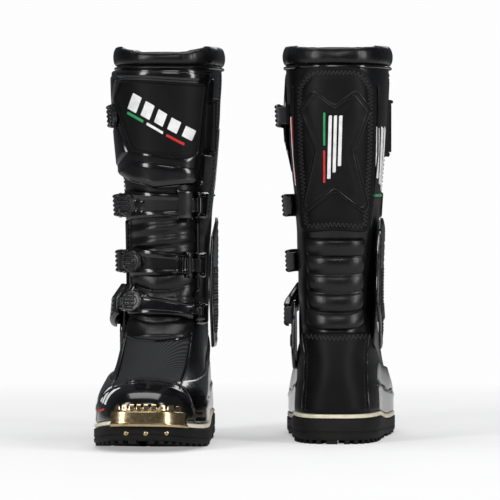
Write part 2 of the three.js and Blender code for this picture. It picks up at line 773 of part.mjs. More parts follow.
// The raised plate on the calf, waisted in the middle like a letter X.
function calfPlate() {
  const top = COLLAR_BOTTOM - CALF_PLATE_TOP_GAP;
  const middle = (top + CALF_PLATE_BOTTOM_Z) / 2;
  const right = [
    [0, top - 16],
    [CALF_PLATE_HALF_WIDTH - 12, top],
    [CALF_PLATE_HALF_WIDTH, top - 20],
    [CALF_PLATE_WAIST, middle],
    [CALF_PLATE_HALF_WIDTH - 3, CALF_PLATE_BOTTOM_Z],
    [CALF_PLATE_HALF_WIDTH - 8, CALF_PLATE_BOTTOM_Z - 3],
  ];
  const left = right.slice(1).map(([x, z]) => [-x, z]).reverse();
  const outline = [...right, [0, CALF_PLATE_BOTTOM_Z + 22], ...left];
  return wall(PLATE_IN, PLATE_OUT).intersect(prism("front", outline, 20, FAR));
}

// The guard over the inner side of the shaft and ankle, pointed at the top.
function medialGuard() {
  const outline = [
    [ANKLE_Y - 12, 96],
    [ANKLE_Y + 12, 96],
    [ANKLE_Y + 30, 140],
    [ANKLE_Y + 26, MEDIAL_GUARD_TOP_Z - 14],
    [ANKLE_Y + 12, MEDIAL_GUARD_TOP_Z],
    [ANKLE_Y - 28, MEDIAL_GUARD_TOP_Z - 22],
    [ANKLE_Y - 32, 150],
  ];
  const upper = [[-FAR, GUARD_JOIN_Z], [FAR, GUARD_JOIN_Z], [FAR, FAR], [-FAR, FAR]];
  const lower = [[-FAR, 0], [FAR, 0], [FAR, GUARD_JOIN_Z + PLATE], [-FAR, GUARD_JOIN_Z + PLATE]];
  const curved = wall(PLATE_IN, PLATE_OUT)
    .intersect(prism("side", outline, 0, FAR))
    .intersect(prism("side", upper, 0, FAR));
  const flat = prism("side", outline, FLAP_IN, FLAP_OUT).intersect(prism("side", lower, 0, FAR));
  return curved.add(flat);
}

function collar() {
  const level = [[-FAR, COLLAR_BOTTOM], [FAR, COLLAR_BOTTOM], [FAR, BOOT_HEIGHT], [-FAR, BOOT_HEIGHT]];
  return wall(-LEATHER - COLLAR_PAD, COLLAR_PAD).intersect(prism("front", level, -FAR, FAR));
}

// ---- Shin plate ---------------------------------------------------------------------------------

function plateHinge() {
  return spot(SHIN_PLATE_HINGE_DEG, SHIN_PLATE_BOTTOM_Z + SHIN_PLATE_HINGE_RISE, PLATE_OUT + 1).point;
}

// The lug on the shaft's inner side that the shin plate turns in.
function plateAnchor() {
  const hinge = plateHinge();
  const height = SHIN_PLATE_HINGE_HEIGHT;
  const { turn } = spot(SHIN_PLATE_HINGE_DEG, hinge.z, 0);
  const [start, end] = [SHIN_PLATE_HINGE_DEG - 14, SHIN_PLATE_HINGE_DEG - 7];
  const foot = band(start, end, hinge.z, 0, height, -1, PLATE_OUT + 2);
  return fork(hinge, height, 1 - FORK_REACH, turn).subtract(core(PANEL_OUT + CLEARANCE)).add(foot);
}

function shinPlate() {
  const top = COLLAR_BOTTOM - CLEARANCE - 2;
  const medial = SHIN_PLATE_HALF_WIDTH;
  const lateral = SHIN_PLATE_HALF_WIDTH + SHIN_PLATE_LATERAL_EXTRA;
  const outline = [
    [8 - lateral, SHIN_PLATE_BOTTOM_Z + 12],
    [-6, SHIN_PLATE_BOTTOM_Z - 4],
    [medial - 8, SHIN_PLATE_BOTTOM_Z],
    [medial, top],
    [-lateral, top],
    [-lateral, SHIN_PLATE_BOTTOM_Z + SHIN_PLATE_STEP_HEIGHT],
  ];
  const hinge = plateHinge();
  const height = SHIN_PLATE_HINGE_HEIGHT;
  const { turn } = spot(SHIN_PLATE_HINGE_DEG, hinge.z, 0);
  const tongue = tongueOf(hinge, TONGUE_LENGTH + 6, height, turn)
    .subtract(core(PLATE_IN));
  return wall(PLATE_IN, PLATE_OUT)
    .intersect(prism("front", outline, -FAR, 0))
    .add(tongue)
    .subtract(pinHole(hinge, height))
    .add(leverFork(FASTENINGS[0]));
}

// ---- Straps, levers and catches -----------------------------------------------------------------

function leverHinge(strap) {
  return spot(strap.lever, strap.level + strap.rise, hingeOffset(strap) + 1);
}

// The fork at the lateral end of a band that its lever turns in.
function leverFork(strap) {
  const { point, turn } = leverHinge(strap);
  return fork(point, strap.height, -FORK_REACH, turn).subtract(core(strapStandoff(strap)));
}

function strapBand(strap) {
  const standoff = strapStandoff(strap);
  const hinge = spot(strap.medial, strap.level - strap.rise, hingeOffset(strap));
  const tongue = tongueOf(hinge.point, TONGUE_LENGTH, strap.height, hinge.turn).subtract(core(standoff));
  const [start, end] = [strap.medial + BAND_START_DEG, strap.lever - BAND_END_DEG];
  return band(start, end, strap.level, strap.rise, strap.height, standoff, standoff + STRAP_THICKNESS)
    .add(tongue)
    .subtract(pinHole(hinge.point, strap.height))
    .add(leverFork(strap));
}

function lever(strap) {
  const { point, turn } = leverHinge(strap);
  const inner = LEVER_STANDOFF + strap.lift * FLAP_LIFT;
  const level = strap.level + strap.rise - strap.drop / 2;
  const neck = tongueOf(point, TONGUE_LENGTH, strap.height, turn);
  const start = strap.lever + LEVER_GAP_DEG;
  return band(start, strap.tip, level, -strap.drop / 2, LEVER_HEIGHT, inner, inner + LEVER_THICKNESS)
    .add(neck.subtract(core(inner)))
    .add(eye(point, strap.height))
    .subtract(pinHole(point, strap.height));
}

// A block under the lever, seated on its bed, with a hook just past the lever's tip.
function catchPlate(strap) {
  const seat = CATCH_STANDOFF + strap.lift * FLAP_LIFT;
  const inner = { leather: CLEARANCE, arm: ARM_CATCH_STANDOFF, flap: seat }[strap.bed];
  const level = strap.level + strap.rise - strap.drop;
  const height = LEVER_HEIGHT - 8;
  const start = strap.tip - CATCH_LENGTH_DEG;
  const plate = band(start, strap.tip + HOOK_END_DEG, level, 0, height, inner, seat + CATCH_THICKNESS);
  const hook = band(strap.tip + HOOK_START_DEG, strap.tip + HOOK_END_DEG, level, 0, height, inner, seat + CATCH_HOOK);
  return plate.add(hook);
}

// ---- Assembly -----------------------------------------------------------------------------------

function bootPieces() {
  const pieces = [
    ["outsole", outsole(), soleRubber],
    ["welt", welt(), creamRubber],
    ["footbed", footbed(), foam],
    ["foot_upper", footUpper(), leather],
    ["vamp_panel", vampPanel(), vampMesh],
    ["toe_cap", toeCap(), blackGloss],
    ["toe_guard", toeGuard(), gold],
    ["lateral_foot_shell", lateralFootShell(), blackGloss],
    ["medial_foot_shell", footShell(1), blackGloss],
    ["heel_counter", heelCounter(), blackMatte],
    ["instep_bellows", instepBellows(), leather],
    ["achilles_bellows", achillesBellows(), leather],
    ["ankle_liner", ankleLiner(), foam],
    ["shaft_upper", shaftUpper(), leather],
    ["calf_panel", calfPanel(), blackMatte],
    ["calf_plate", calfPlate(), blackMatte],
    ["medial_guard", medialGuard(), blackGloss],
    ["collar", collar(), leather],
    ["shin_plate", shinPlate(), blackGloss],
  ];
  for (const strap of FASTENINGS) {
    if (strap.medial !== undefined) pieces.push([`strap_${strap.name}`, strapBand(strap), blackGloss]);
    pieces.push([`lever_${strap.name}`, lever(strap), blackGloss]);
    pieces.push([`catch_${strap.name}`, catchPlate(strap), steel]);
  }
  return pieces;
}

function boot(name, pieces) {
  const group = new THREE.Group();
  for (const [part, solid, finish] of pieces) {
    const mesh = new THREE.Mesh(geometryOf(solid), finish);
    mesh.name = `${name}_${part}`;
    group.add(mesh);
  }
  return group;
}

const pieces = bootPieces();
const right = boot("right", pieces);
right.position.x = -PAIR_SPACING / 2;
right.rotation.z = THREE.MathUtils.degToRad(RIGHT_TURN_DEG);
const left = boot("left", pieces);
left.scale.y = -1;
left.position.x = PAIR_SPACING / 2;
left.rotation.z = THREE.MathUtils.degToRad(LEFT_TURN_DEG);

const group = new THREE.Group();
group.add(right, left);

// The origin is the middle of the pair's footprint, on the floor.
group.updateMatrixWorld(true);
const middle = new THREE.Box3().setFromObject(group, true).getCenter(new THREE.Vector3());
group.position.set(-middle.x, -middle.y, 0);

export default group;
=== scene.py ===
import json
import math

import bmesh
import bpy
import numpy as np
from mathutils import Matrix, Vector
from mathutils.geometry import delaunay_2d_cdt


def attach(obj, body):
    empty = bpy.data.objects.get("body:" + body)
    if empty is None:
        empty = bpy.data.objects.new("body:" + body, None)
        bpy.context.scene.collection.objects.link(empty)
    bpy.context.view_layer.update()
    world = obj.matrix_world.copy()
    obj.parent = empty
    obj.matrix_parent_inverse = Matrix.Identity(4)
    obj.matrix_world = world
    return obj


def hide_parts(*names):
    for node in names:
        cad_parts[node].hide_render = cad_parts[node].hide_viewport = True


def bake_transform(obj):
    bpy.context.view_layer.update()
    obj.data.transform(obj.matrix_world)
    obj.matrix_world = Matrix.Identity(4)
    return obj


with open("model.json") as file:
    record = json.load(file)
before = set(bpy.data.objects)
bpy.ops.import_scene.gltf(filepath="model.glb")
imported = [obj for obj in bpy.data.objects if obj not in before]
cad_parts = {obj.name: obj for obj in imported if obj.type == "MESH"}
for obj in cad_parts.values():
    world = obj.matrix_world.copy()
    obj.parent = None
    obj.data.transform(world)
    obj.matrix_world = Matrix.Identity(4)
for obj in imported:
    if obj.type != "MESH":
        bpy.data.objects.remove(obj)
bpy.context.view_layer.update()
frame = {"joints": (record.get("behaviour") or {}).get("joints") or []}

# A pair of buckled riding boots. Each piece is shaped once, in millimetres, on a boot whose toe points to -Y
# and whose buckled side is -X, and is then placed twice: as the right boot, and mirrored as the left one.

# ---- Sizes, in millimetres, that follow the CAD part ----
HEIGHT = 415
TOE_Y, UPPER_TOE_Y = -220, -215
COLLAR_BOTTOM = 392
UPPER_BOTTOM = 31
OUTSOLE_TOP = 26
ANKLE_Y, ANKLE_Z = 25, 105
SHIN_FRONT_Y, TOE_CAP_BACK_Y = -54, -166
SPRING, SPRING_START_Y = 10, -95
DROP, DROP_START_Y, DROP_END_Y = 8, 30, -60
STRAPS = {
    "2": dict(level=248, rise=0, height=25, medial=-42, lever=52, tip=96, drop=0, lift=0),
    "3": dict(level=187, rise=2, height=24, medial=-44, lever=46, tip=92, drop=0, lift=0),
    "4": dict(level=138, rise=5, height=18, medial=-40, lever=40, tip=84, drop=12, lift=3.3),
}
TOP_BUCKLE = dict(level=342, rise=0, height=24, lever=63, tip=103, drop=0, lift=0)


# ---- The upper's surface ----
def curve(points):
    """A smooth function through [input, output] pairs, flat beyond both ends."""
    xs, ys = np.array(points, float).T
    slopes = np.zeros(len(xs))
    slopes[1:-1] = (ys[2:] - ys[:-2]) / (xs[2:] - xs[:-2])

    def at(value):
        v = np.clip(value, xs[0], xs[-1])
        i = np.clip(np.searchsorted(xs, v, side="right") - 1, 0, len(xs) - 2)
        span = xs[i + 1] - xs[i]
        t = (v - xs[i]) / span
        r = 1 - t
        value_part = (1 + 2 * t) * r * r * ys[i] + t * t * (3 - 2 * t) * ys[i + 1]
        return value_part + span * (t * r * r * slopes[i] - t * t * r * slopes[i + 1])

    return at


instep_share = curve([[45, 1], [54, 0.965], [61, 0.9], [67, 0.8], [73, 0.68], [81, 0.545], [92, 0.4],
                      [106, 0.25], [122, 0.12], [140, 0.04], [160, 0]])
shin_lean = curve([[180, 0], [290, -4], [COLLAR_BOTTOM, -9]])
back_of = curve([[60, 87], [90, 83], [116, 76], [142, 71], [168, 70], [205, 75], [245, 82], [290, 89],
                 [335, 92], [377, 89], [HEIGHT, 85]])
shaft_half = curve([[150, 41], [195, 42], [245, 44.5], [300, 49], [345, 52], [COLLAR_BOTTOM, 54]])
squareness = curve([[31, 3.2], [50, 2.9], [66, 2.5], [84, 2.3], [105, 2.4], [150, 2.5], [300, 2.4],
                    [HEIGHT, 2.5]])
foot_share = curve([[50, 1], [70, 0.55], [90, 0]])
foot_half = curve([[-215, 48], [-155, 52], [-110, 53], [-10, 44], [45, 45], [87, 45]])
instep_half = curve([[-215, 53], [-80, 49], [0, 41]])
forefoot_drop = curve([[DROP_END_Y, DROP], [DROP_START_Y, 0]])
drop_share = curve([[50, 1], [135, 0]])


def toe_rise(y):
    share = np.clip((SPRING_START_Y - y) / (SPRING_START_Y - TOE_Y), 0, None)
    return SPRING * share**2


def power_of(value, power):
    return np.sign(value) * np.abs(value) ** power


def unit(v):
    return v / np.linalg.norm(v, axis=-1, keepdims=True)


def ridge(value, middle, width):
    """A rounded ridge, 1 high at its middle."""
    return np.exp(-(((value - middle) / width) ** 2))


def full_turn(count):
    return np.linspace(0, 2 * np.pi, count, endpoint=False)


def leather(angle, level):
    """Points on the leather's outside. The angle runs round the boot from the front, + towards lateral."""
    angle, level = np.broadcast_arrays(np.asarray(angle, float), np.asarray(level, float))
    power = 2 / squareness(level)
    front = SHIN_FRONT_Y + shin_lean(level) + instep_share(level) * (UPPER_TOE_Y - SHIN_FRONT_Y)
    back = back_of(level)
    across = power_of(np.sin(angle), power)
    y = (front + back) / 2 - power_of(np.cos(angle), power) * (back - front) / 2
    foot = foot_share(level)
    shaft = np.maximum(shaft_half(level), np.where(level < 150, instep_half(y), 0))
    bulge = 2 * np.sin(np.pi * np.clip((y - UPPER_TOE_Y) / -UPPER_TOE_Y, 0, 1))
    half = foot * (foot_half(y) + np.where(np.sin(angle) > 0, bulge, 0)) + (1 - foot) * shaft
    return np.stack([-across * half, y, level + toe_rise(y) - forefoot_drop(y) * drop_share(level)], -1)


def normal_at(angle, level):
    step, reach = 1e-3, 0.5
    round_ = leather(angle + step, level) - leather(angle - step, level)
    up = leather(angle, level + reach) - leather(angle, level - reach)
    return unit(np.cross(up, round_))


def skin(angle, level, offset):
    angle = np.asarray(angle, float) + 1e-5
    offset = np.asarray(offset, float)[..., None] if np.ndim(offset) else offset
    return leather(angle, level) + normal_at(angle, level) * offset


VIEWS = {  # the range of angles seen from each side, and which coordinate runs across that view
    "front": (-math.pi / 2, math.pi / 2, 0),
    "back": (math.pi / 2, 1.5 * math.pi, 0),
    "lateral": (0, math.pi, 1),
    "medial": (0, -math.pi, 1),
}


def angle_seen(view, across, level):
    """The angle at which the surface lies at a place across the view, by halving."""
    start, end, axis = VIEWS[view]
    low = np.full(np.shape(across), start, float)
    high = np.full(np.shape(across), end, float)
    rising = leather(end, 200.0)[axis] > leather(start, 200.0)[axis]
    for _ in range(26):
        middle = (low + high) / 2
        beyond = (leather(middle, level)[..., axis] > across) == rising
        high = np.where(beyond, middle, high)
        low = np.where(beyond, low, middle)
    return (low + high) / 2


# ---- Mesh building, all in millimetres ----
def smoothed(outline, radius=4.0, steps=5):
    """An outline with its corners rounded, by a quadratic curve across each corner."""
    points = np.array(outline, float)
    out = []
    for i, p in enumerate(points):
        a, b = points[i - 1] - p, points[(i + 1) % len(points)] - p
        la, lb = np.linalg.norm(a), np.linalg.norm(b)
        r = min(radius, 0.45 * la, 0.45 * lb)
        start, end = p + a / la * r, p + b / lb * r
        for t in np.linspace(0, 1, steps):
            out.append((1 - t) ** 2 * start + 2 * t * (1 - t) * p + t * t * end)
    return np.array(out)


def resampled(loop, spacing):
    points = []
    for i in range(len(loop)):
        a, b = loop[i], loop[(i + 1) % len(loop)]
        count = max(1, int(np.ceil(np.linalg.norm(b - a) / spacing)))
        for k in range(count):
            q = a + (b - a) * k / count
            if not points or np.linalg.norm(q - points[-1]) > 0.05:
                points.append(q)
    return np.array(points)


def inside(points, loop):
    hit = np.zeros(len(points), bool)
    for (ax, ay), (bx, by) in zip(loop, np.roll(loop, -1, 0)):
        if ay == by:
            continue
        crosses = (ay > points[:, 1]) != (by > points[:, 1])
        x = ax + (points[:, 1] - ay) * (bx - ax) / (by - ay)
        hit ^= crosses & (points[:, 0] < x)
    return hit


def edge_distance(points, loop):
    best = np.full(len(points), 1e9)
    for p, q in zip(loop, np.roll(loop, -1, 0)):
        d = q - p
        t = np.clip(((points - p) @ d) / max(d @ d, 1e-9), 0, 1)
        best = np.minimum(best, np.linalg.norm(points - p - t[:, None] * d, axis=1))
    return best


def inward(loop):
    """The direction into an outline at each of its points."""
    ahead = np.roll(loop, -1, 0) - np.roll(loop, 1, 0)
    ahead /= np.linalg.norm(ahead, axis=1, keepdims=True) + 1e-9
    area = np.sum(loop[:, 0] * np.roll(loop[:, 1], -1) - np.roll(loop[:, 0], -1) * loop[:, 1])
    return np.stack([-ahead[:, 1], ahead[:, 0]], 1) * (1 if area > 0 else -1)


def filled(loop, spacing, edge):
    """Triangles over an outline: its edge, rings just inside it and a grid of points."""
    rim = resampled(loop, min(spacing, 2.0))
    into = inward(rim)
    extra = []
    for share in (0.3, 0.7, 1.1):
        ring = rim + into * edge * share
        good = inside(ring, rim) & (edge_distance(ring, rim) > edge * share * 0.93)
        extra.append(ring[good])
    low, high = rim.min(0), rim.max(0)
    gx, gy = np.meshgrid(np.arange(low[0], high[0], spacing), np.arange(low[1], high[1], spacing))
    gx = gx + np.where(np.arange(gx.shape[0]) % 2, spacing / 2, 0)[:, None]
    grid = np.stack([gx.ravel(), gy.ravel()], 1)
    grid = grid[inside(grid, rim)]
    grid = grid[edge_distance(grid, rim) > edge * 1.1 + spacing * 0.45]
    points = np.concatenate([rim, *extra, grid])
    count = len(rim)
    verts, _, faces, *_ = delaunay_2d_cdt([Vector(p) for p in points], [], [list(range(count))], 1, 1e-4)
    flat = np.array([v[:] for v in verts])
    return flat, [list(f) for f in faces], edge_distance(flat, rim)


def border(faces):
    """The edges that only one face has, each in that face's own direction."""
    edges = dict.fromkeys(pair for f in faces for pair in zip(f, f[1:] + f[:1]))
    return [(a, b) for a, b in edges if (b, a) not in edges]


def thick_sheet(top, bottom, faces):
    """A closed mesh between two sheets with the same faces."""
    n = len(top)
    out = [list(f) for f in faces] + [[i + n for i in reversed(f)] for f in faces]
    out += [[b, a, a + n, b + n] for a, b in border(faces)]
    return np.concatenate([top, bottom]), out


def rounded(distance, edge, start=0.4):
    """The share of the full thickness at a distance from the edge."""
    t = np.clip(distance / edge, 0, 1)
    return start + (1 - start) * np.sqrt(1 - (1 - t) ** 2)


def moulded(outline, thick, edge, spacing, relief, corner, start=0.4):
    """Places over an outline, their triangles, and how high a piece with a rounded edge stands at each."""
    flat, faces, distance = filled(smoothed(outline, corner), spacing, edge)
    rise = thick * rounded(distance, edge, start)
    if relief is not None:
        rise = rise + relief(*flat.T, distance)
    return flat.T, faces, rise


def plate(outline, view, base, thick, edge, spacing, relief=None, corner=4.0, start=0.4):
    """A moulded piece on the boot, drawn as it is seen from one side."""
    (across, level), faces, rise = moulded(outline, thick, edge, spacing, relief, corner, start)
    angle = angle_seen(view, across, level)
    base = base(across, level) if callable(base) else np.full(len(level), float(base))
    return thick_sheet(skin(angle, level, base + rise), skin(angle, level, base), faces)


def grid_faces(nu, nv, closed=False):
    faces = []
    for i in range(nu if closed else nu - 1):
        for j in range(nv - 1):
            a, b = i * nv + j, ((i + 1) % nu) * nv + j
            faces.append([a, b, b + 1, a + 1])
    return faces


def wrapped(place, nu, nv, base, thick, edge=1.5, relief=None, start=0.4):
    """A piece whose outline is a stretched square: place(s, t) gives angle and level."""
    s, t = np.meshgrid(np.linspace(0, 1, nu), np.linspace(0, 1, nv), indexing="ij")
    angle, level = place(s, t)
    on = leather(angle, level)
    rows = np.concatenate([on[:, :1], on], 1)
    along = np.linalg.norm(np.diff(on, axis=0), axis=-1).sum(0)
    across = np.linalg.norm(np.diff(rows, axis=1), axis=-1).sum(1)
    distance = np.minimum(np.minimum(s, 1 - s) * along[None, :], np.minimum(t, 1 - t) * across[:, None])
    rise = thick * rounded(distance, edge, start)
    if relief is not None:
        rise = rise + relief(s, t)
    places = angle.ravel(), level.ravel()
    return thick_sheet(skin(*places, (base + rise).ravel()), skin(*places, base), grid_faces(nu, nv))


def ring_faces(count, sides, closed=False):
    """Faces between rings of points. There is a cap at each end, unless the last ring meets the first."""
    faces = []
    for i in range(count if closed else count - 1):
        j = (i + 1) % count
        for k in range(sides):
            m = (k + 1) % sides
            faces.append([i * sides + k, i * sides + m, j * sides + m, j * sides + k])
    if not closed:
        faces.append(list(range(sides))[::-1])
        faces.append([(count - 1) * sides + k for k in range(sides)])
    return faces


def tube(path, radius, sides=8, closed=False):
    """A round bead along a run of points."""
    path = np.asarray(path, float)
    ahead = np.roll(path, -1, 0) - np.roll(path, 1, 0)
    if not closed:
        ahead[0], ahead[-1] = path[1] - path[0], path[-1] - path[-2]
    ahead /= np.linalg.norm(ahead, axis=1, keepdims=True) + 1e-12
    up = np.array([0.31, 0.17, 0.93])
    side = unit(np.cross(ahead, up))
    other = np.cross(ahead, side)
    turn = full_turn(sides)
    ring = side[:, None] * np.cos(turn)[None, :, None] + other[:, None] * np.sin(turn)[None, :, None]
    radii = np.full(len(path), radius, float)
    if not closed:
        radii[0] = radii[-1] = radius * 0.5
    verts = (path[:, None] + ring * radii[:, None, None]).reshape(-1, 3)
    return verts, ring_faces(len(path), sides, closed)


def joined(*meshes):
    verts, faces, n = [], [], 0
    for v, f in meshes:
        verts.append(np.asarray(v, float))
        faces += [[i + n for i in face] for face in f]
        n += len(v)
    return np.concatenate(verts), faces


def on_skin(points, view, offset):
    """Points [across, level] seen from one side, put on the surface."""
    p = np.array(points, float)
    return skin(angle_seen(view, p[:, 0], p[:, 1]), p[:, 1], offset)


def fine(points, spacing=1.5, closed=False):
    """A broken line resampled at an even spacing."""
    p = np.array(points, float)
    if closed:
        p = np.concatenate([p, p[:1]])
    d = np.concatenate([[0], np.cumsum(np.linalg.norm(np.diff(p, axis=0), axis=1))])
    n = max(2, int(round(d[-1] / spacing)))
    at = np.linspace(0, d[-1], n + 1)
    if closed:
        at = at[:-1]
    return np.stack([np.interp(at, d, p[:, k]) for k in range(p.shape[1])], 1)


def zigzag(line, width, pitch):
    """A stitched zigzag that follows a line of [across, level] points."""
    p = fine(line, pitch / 2)
    ahead = unit(np.gradient(p, axis=0))
    side = np.stack([-ahead[:, 1], ahead[:, 0]], 1)
    return p + side * (width / 2) * np.where(np.arange(len(p)) % 2, 1, -1)[:, None]


def stitches(line3d, length=3.0, gap=1.4, radius=0.45):
    """Single thread stitches along a run of points on the surface."""
    p = fine(line3d, 0.5)
    step = int(round((length + gap) / 0.5))
    run = int(round(length / 0.5))
    parts = [tube(p[i:i + run + 1:2], radius, 6) for i in range(0, len(p) - run, step)]
    return joined(*parts)


def spot(angle_deg, level, offset):
    """A place on the surface with its own round-the-boot, up and outward directions."""
    a, level = np.array(math.radians(angle_deg)), np.array(float(level))
    out = normal_at(a, level)
    round_ = unit(leather(a + 0.02, level) - leather(a - 0.02, level))
    up = unit(np.cross(round_, out))
    return skin(a, level, offset), round_, (up if up[2] > 0 else -up), out


def turned(profile, place, sides=32):
    """A round piece standing on the surface: profile is [radius, height] from the rim to the middle."""
    point, u, v, n = place
    turn = full_turn(sides)
    around = np.cos(turn)[:, None] * u + np.sin(turn)[:, None] * v
    verts = np.concatenate([point + radius * around + height * n for radius, height in profile])
    return verts, ring_faces(len(profile), sides)


# ---- Materials ----
def node(tree, kind, values=(), links=()):
    """A shader node with values set and other nodes' outputs linked to its inputs."""
    made = tree.nodes.new(f"ShaderNode{kind}")
    for socket, value in dict(values).items():
        made.inputs[socket].default_value = value
    for socket, output in dict(links).items():
        tree.links.new(output, made.inputs[socket])
    return made


def new_material(name, color, roughness, metallic=0.0, coat=0.0, sheen=0.0, specular=0.33):
    m = bpy.data.materials.new(name)
    m.use_nodes = True
    values = {"Base Color": (*color, 1), "Roughness": roughness, "Metallic": metallic, "Coat Weight": coat,
              "Coat Roughness": 0.08, "Sheen Weight": sheen, "Specular IOR Level": specular}
    for socket, value in values.items():
        shader_of(m).inputs[socket].default_value = value
    return m


def shader_of(m):
    return m.node_tree.nodes["Principled BSDF"]


def texture(m, kind, scale, detail=3.0, feature=None, source=None):
    """The value of a texture that lies in the piece's own coordinates, unless another source is given."""
    source = source or node(m.node_tree, "TexCoord").outputs["Object"]
    t = node(m.node_tree, f"Tex{kind}", {"Scale": scale}, {"Vector": source})
    if "Detail" in t.inputs:
        t.inputs["Detail"].default_value = detail
    if feature:
        t.feature = feature
    return t.outputs["Distance" if kind == "Voronoi" else "Fac"]


def color_by(m, value, dark, light, start=0.35, end=0.65):
    r = node(m.node_tree, "ValToRGB", links={"Fac": value})
    for element, position, color in zip(r.color_ramp.elements, (start, end), (dark, light)):
        element.position, element.color = position, (*color, 1)
    m.node_tree.links.new(r.outputs["Color"], shader_of(m).inputs["Base Color"])


def roughness_by(m, value, low, high):
    r = node(m.node_tree, "MapRange", {"To Min": low, "To Max": high}, {"Value": value})
    m.node_tree.links.new(r.outputs["Result"], shader_of(m).inputs["Roughness"])


def bump_by(m, height, strength, distance, below=None):
    b = node(m.node_tree, "Bump", {"Strength": strength, "Distance": distance}, {"Height": height})
    if below is not None:
        m.node_tree.links.new(below, b.inputs["Normal"])
    m.node_tree.links.new(b.outputs["Normal"], shader_of(m).inputs["Normal"])
    return b.outputs["Normal"]


def finish(name, color, roughness, tint, polish, reliefs, **values):
    """A material whose colour, roughness and relief each follow a texture between two values."""
    m = new_material(name, color, roughness, **values)
    if tint:
        color_by(m, texture(m, *tint[0]), *tint[1:])
    roughness_by(m, texture(m, *polish[0]), *polish[1:])
    below = None
    for height, strength, distance in reliefs:
        below = bump_by(m, texture(m, *height), strength, distance, below)
    return m


def leather_finish(name, grain, strength):
    dark, light, low, high = (0.002, 0.002, 0.0022), (0.005, 0.005, 0.0055), 0.22, 0.38
    wrinkle = ("Noise", 70, 6)
    return finish(name, dark, low, (("Noise", 18, 5), dark, light), (wrinkle, low, high),
                  [(("Voronoi", grain, 3.0, "DISTANCE_TO_EDGE"), strength, 0.0004), (wrinkle, 0.3, 0.0012)],
                  specular=0.3)


def rubber(name, dark, light, low, high, specular=0.13):
    cloud = ("Noise", 26, 6)
    return finish(name, dark, low, (cloud, dark, light), (cloud, low, high),
                  [(("Noise", 900, 2), 0.25, 0.0003)], specular=specular)


def painted(name, color, roughness=0.4):
    cloud = ("Noise", 120, 5)
    return finish(name, color, roughness, (cloud, tuple(0.82 * c for c in color), color, 0.3, 0.6),
                  (cloud, roughness, roughness + 0.15), [(cloud, 0.08, 0.0003)])


def metal(name, color, roughness, tint, scale, low, high, strength, metallic):
    scratch = ("Noise", scale, 6)
    return finish(name, color, roughness, tint, (scratch, low, high), [(scratch, strength, 0.0003)],
                  metallic=metallic)


def striped_cloth():
    m = new_material("vamp_mesh", (0.02, 0.02, 0.022), 0.5, specular=0.25)
    coord = node(m.node_tree, "TexCoord").outputs["Object"]
    turn = node(m.node_tree, "Mapping", {"Rotation": (0.3, 0.2, 0.9)}, {"Vector": coord})
    stripe = texture(m, "Wave", 150, 1, source=turn.outputs["Vector"])
    stripe.node.inputs["Distortion"].default_value = 0.4
    color_by(m, stripe, (0.006, 0.006, 0.007), (0.034, 0.035, 0.038), 0.5, 0.8)
    weave = texture(m, "Voronoi", 700)
    roughness_by(m, weave, 0.4, 0.65)
    bump_by(m, weave, 0.5, 0.0004)
    return m


MATERIALS = {  # each with the name of its slot
    "gloss": (finish("gloss_plastic", (0.004, 0.004, 0.0045), 0.16,
                     (("Noise", 22, 4), (0.0015, 0.0015, 0.0018), (0.004, 0.004, 0.0046)),
                     (("Noise", 160, 8), 0.08, 0.26), [(("Noise", 40, 2), 0.12, 0.0006)], coat=0.35),
              "gloss_shell"),
    "leather": (leather_finish("leather", 420.0, 0.35), "leather"),
    "soft": (leather_finish("soft_leather", 300, 0.4), "soft_leather"),
    "matte": (rubber("matte_rubber", (0.0018, 0.0018, 0.002), (0.0045, 0.0045, 0.005), 0.42, 0.62),
              "matte_rubber"),
    "tread": (rubber("tread_rubber", (0.005, 0.005, 0.005), (0.012, 0.0115, 0.011), 0.55, 0.8),
              "tread_rubber"),
    "buckle": (rubber("buckle_plastic", (0.004, 0.004, 0.0045), (0.008, 0.008, 0.009), 0.22, 0.36, 0.5),
               "buckle_plastic"),
    "mesh": (striped_cloth(), "vamp_mesh"),
    "bronze": (metal("bronze", (0.62, 0.45, 0.24), 0.25,
                     (("Noise", 60, 5), (0.30, 0.22, 0.11), (0.5, 0.38, 0.22)), 300, 0.12, 0.3, 0.12, 1.0),
               "guard_metal"),
    "steel": (metal("dark_steel", (0.05, 0.05, 0.053), 0.35, None, 240, 0.28, 0.5, 0.15, 0.9),
              "catch_metal"),
    "lining": (finish("lining", (0.03, 0.03, 0.033), 0.85,
                      (("Noise", 30, 4), (0.02, 0.02, 0.022), (0.045, 0.045, 0.05)),
                      (("Noise", 30, 4), 0.75, 0.95), [(("Voronoi", 600), 0.5, 0.0006)], sheen=0.4),
               "lining"),
    "cream": (painted("cream_rubber", (0.72, 0.66, 0.52), 0.5), "welt_rubber"),
    "thread": (painted("thread", (0.02, 0.02, 0.022), 0.6), "matte_rubber"),
    "white": (painted("white_print", (0.75, 0.75, 0.74)), "gloss_shell"),
    "red": (painted("red_print", (0.5, 0.02, 0.02)), "gloss_shell"),
    "green": (painted("green_print", (0.02, 0.28, 0.09)), "gloss_shell"),
}


# ---- Placing a piece on both boots ----
JOINTS = {j["name"]: j for j in frame["joints"]}


def boot_place(side):
    """How a right boot's millimetres become the row frame's metres for one boot."""
    joint = JOINTS[f"{side}_ankle_flex"]
    sign = 1 if side == "right" else -1
    ax, ay = joint["axis"][0] * sign, joint["axis"][1] * sign
    length = math.hypot(ax, ay)
    c, s = ax / length, ay / length
    pivot = np.array(joint["pos_m"])

    def to_row(points):
        p = (np.asarray(points, float) - np.array([0, ANKLE_Y, ANKLE_Z])) * 0.001
        p = p * np.array([1, sign, 1])
        x = c * p[:, 0] - s * p[:, 1]
        y = s * p[:, 0] + c * p[:, 1]
        return np.stack([x, y, p[:, 2]], 1) + pivot

    return to_row, sign


PLACES = {side: boot_place(side) for side in ("right", "left")}


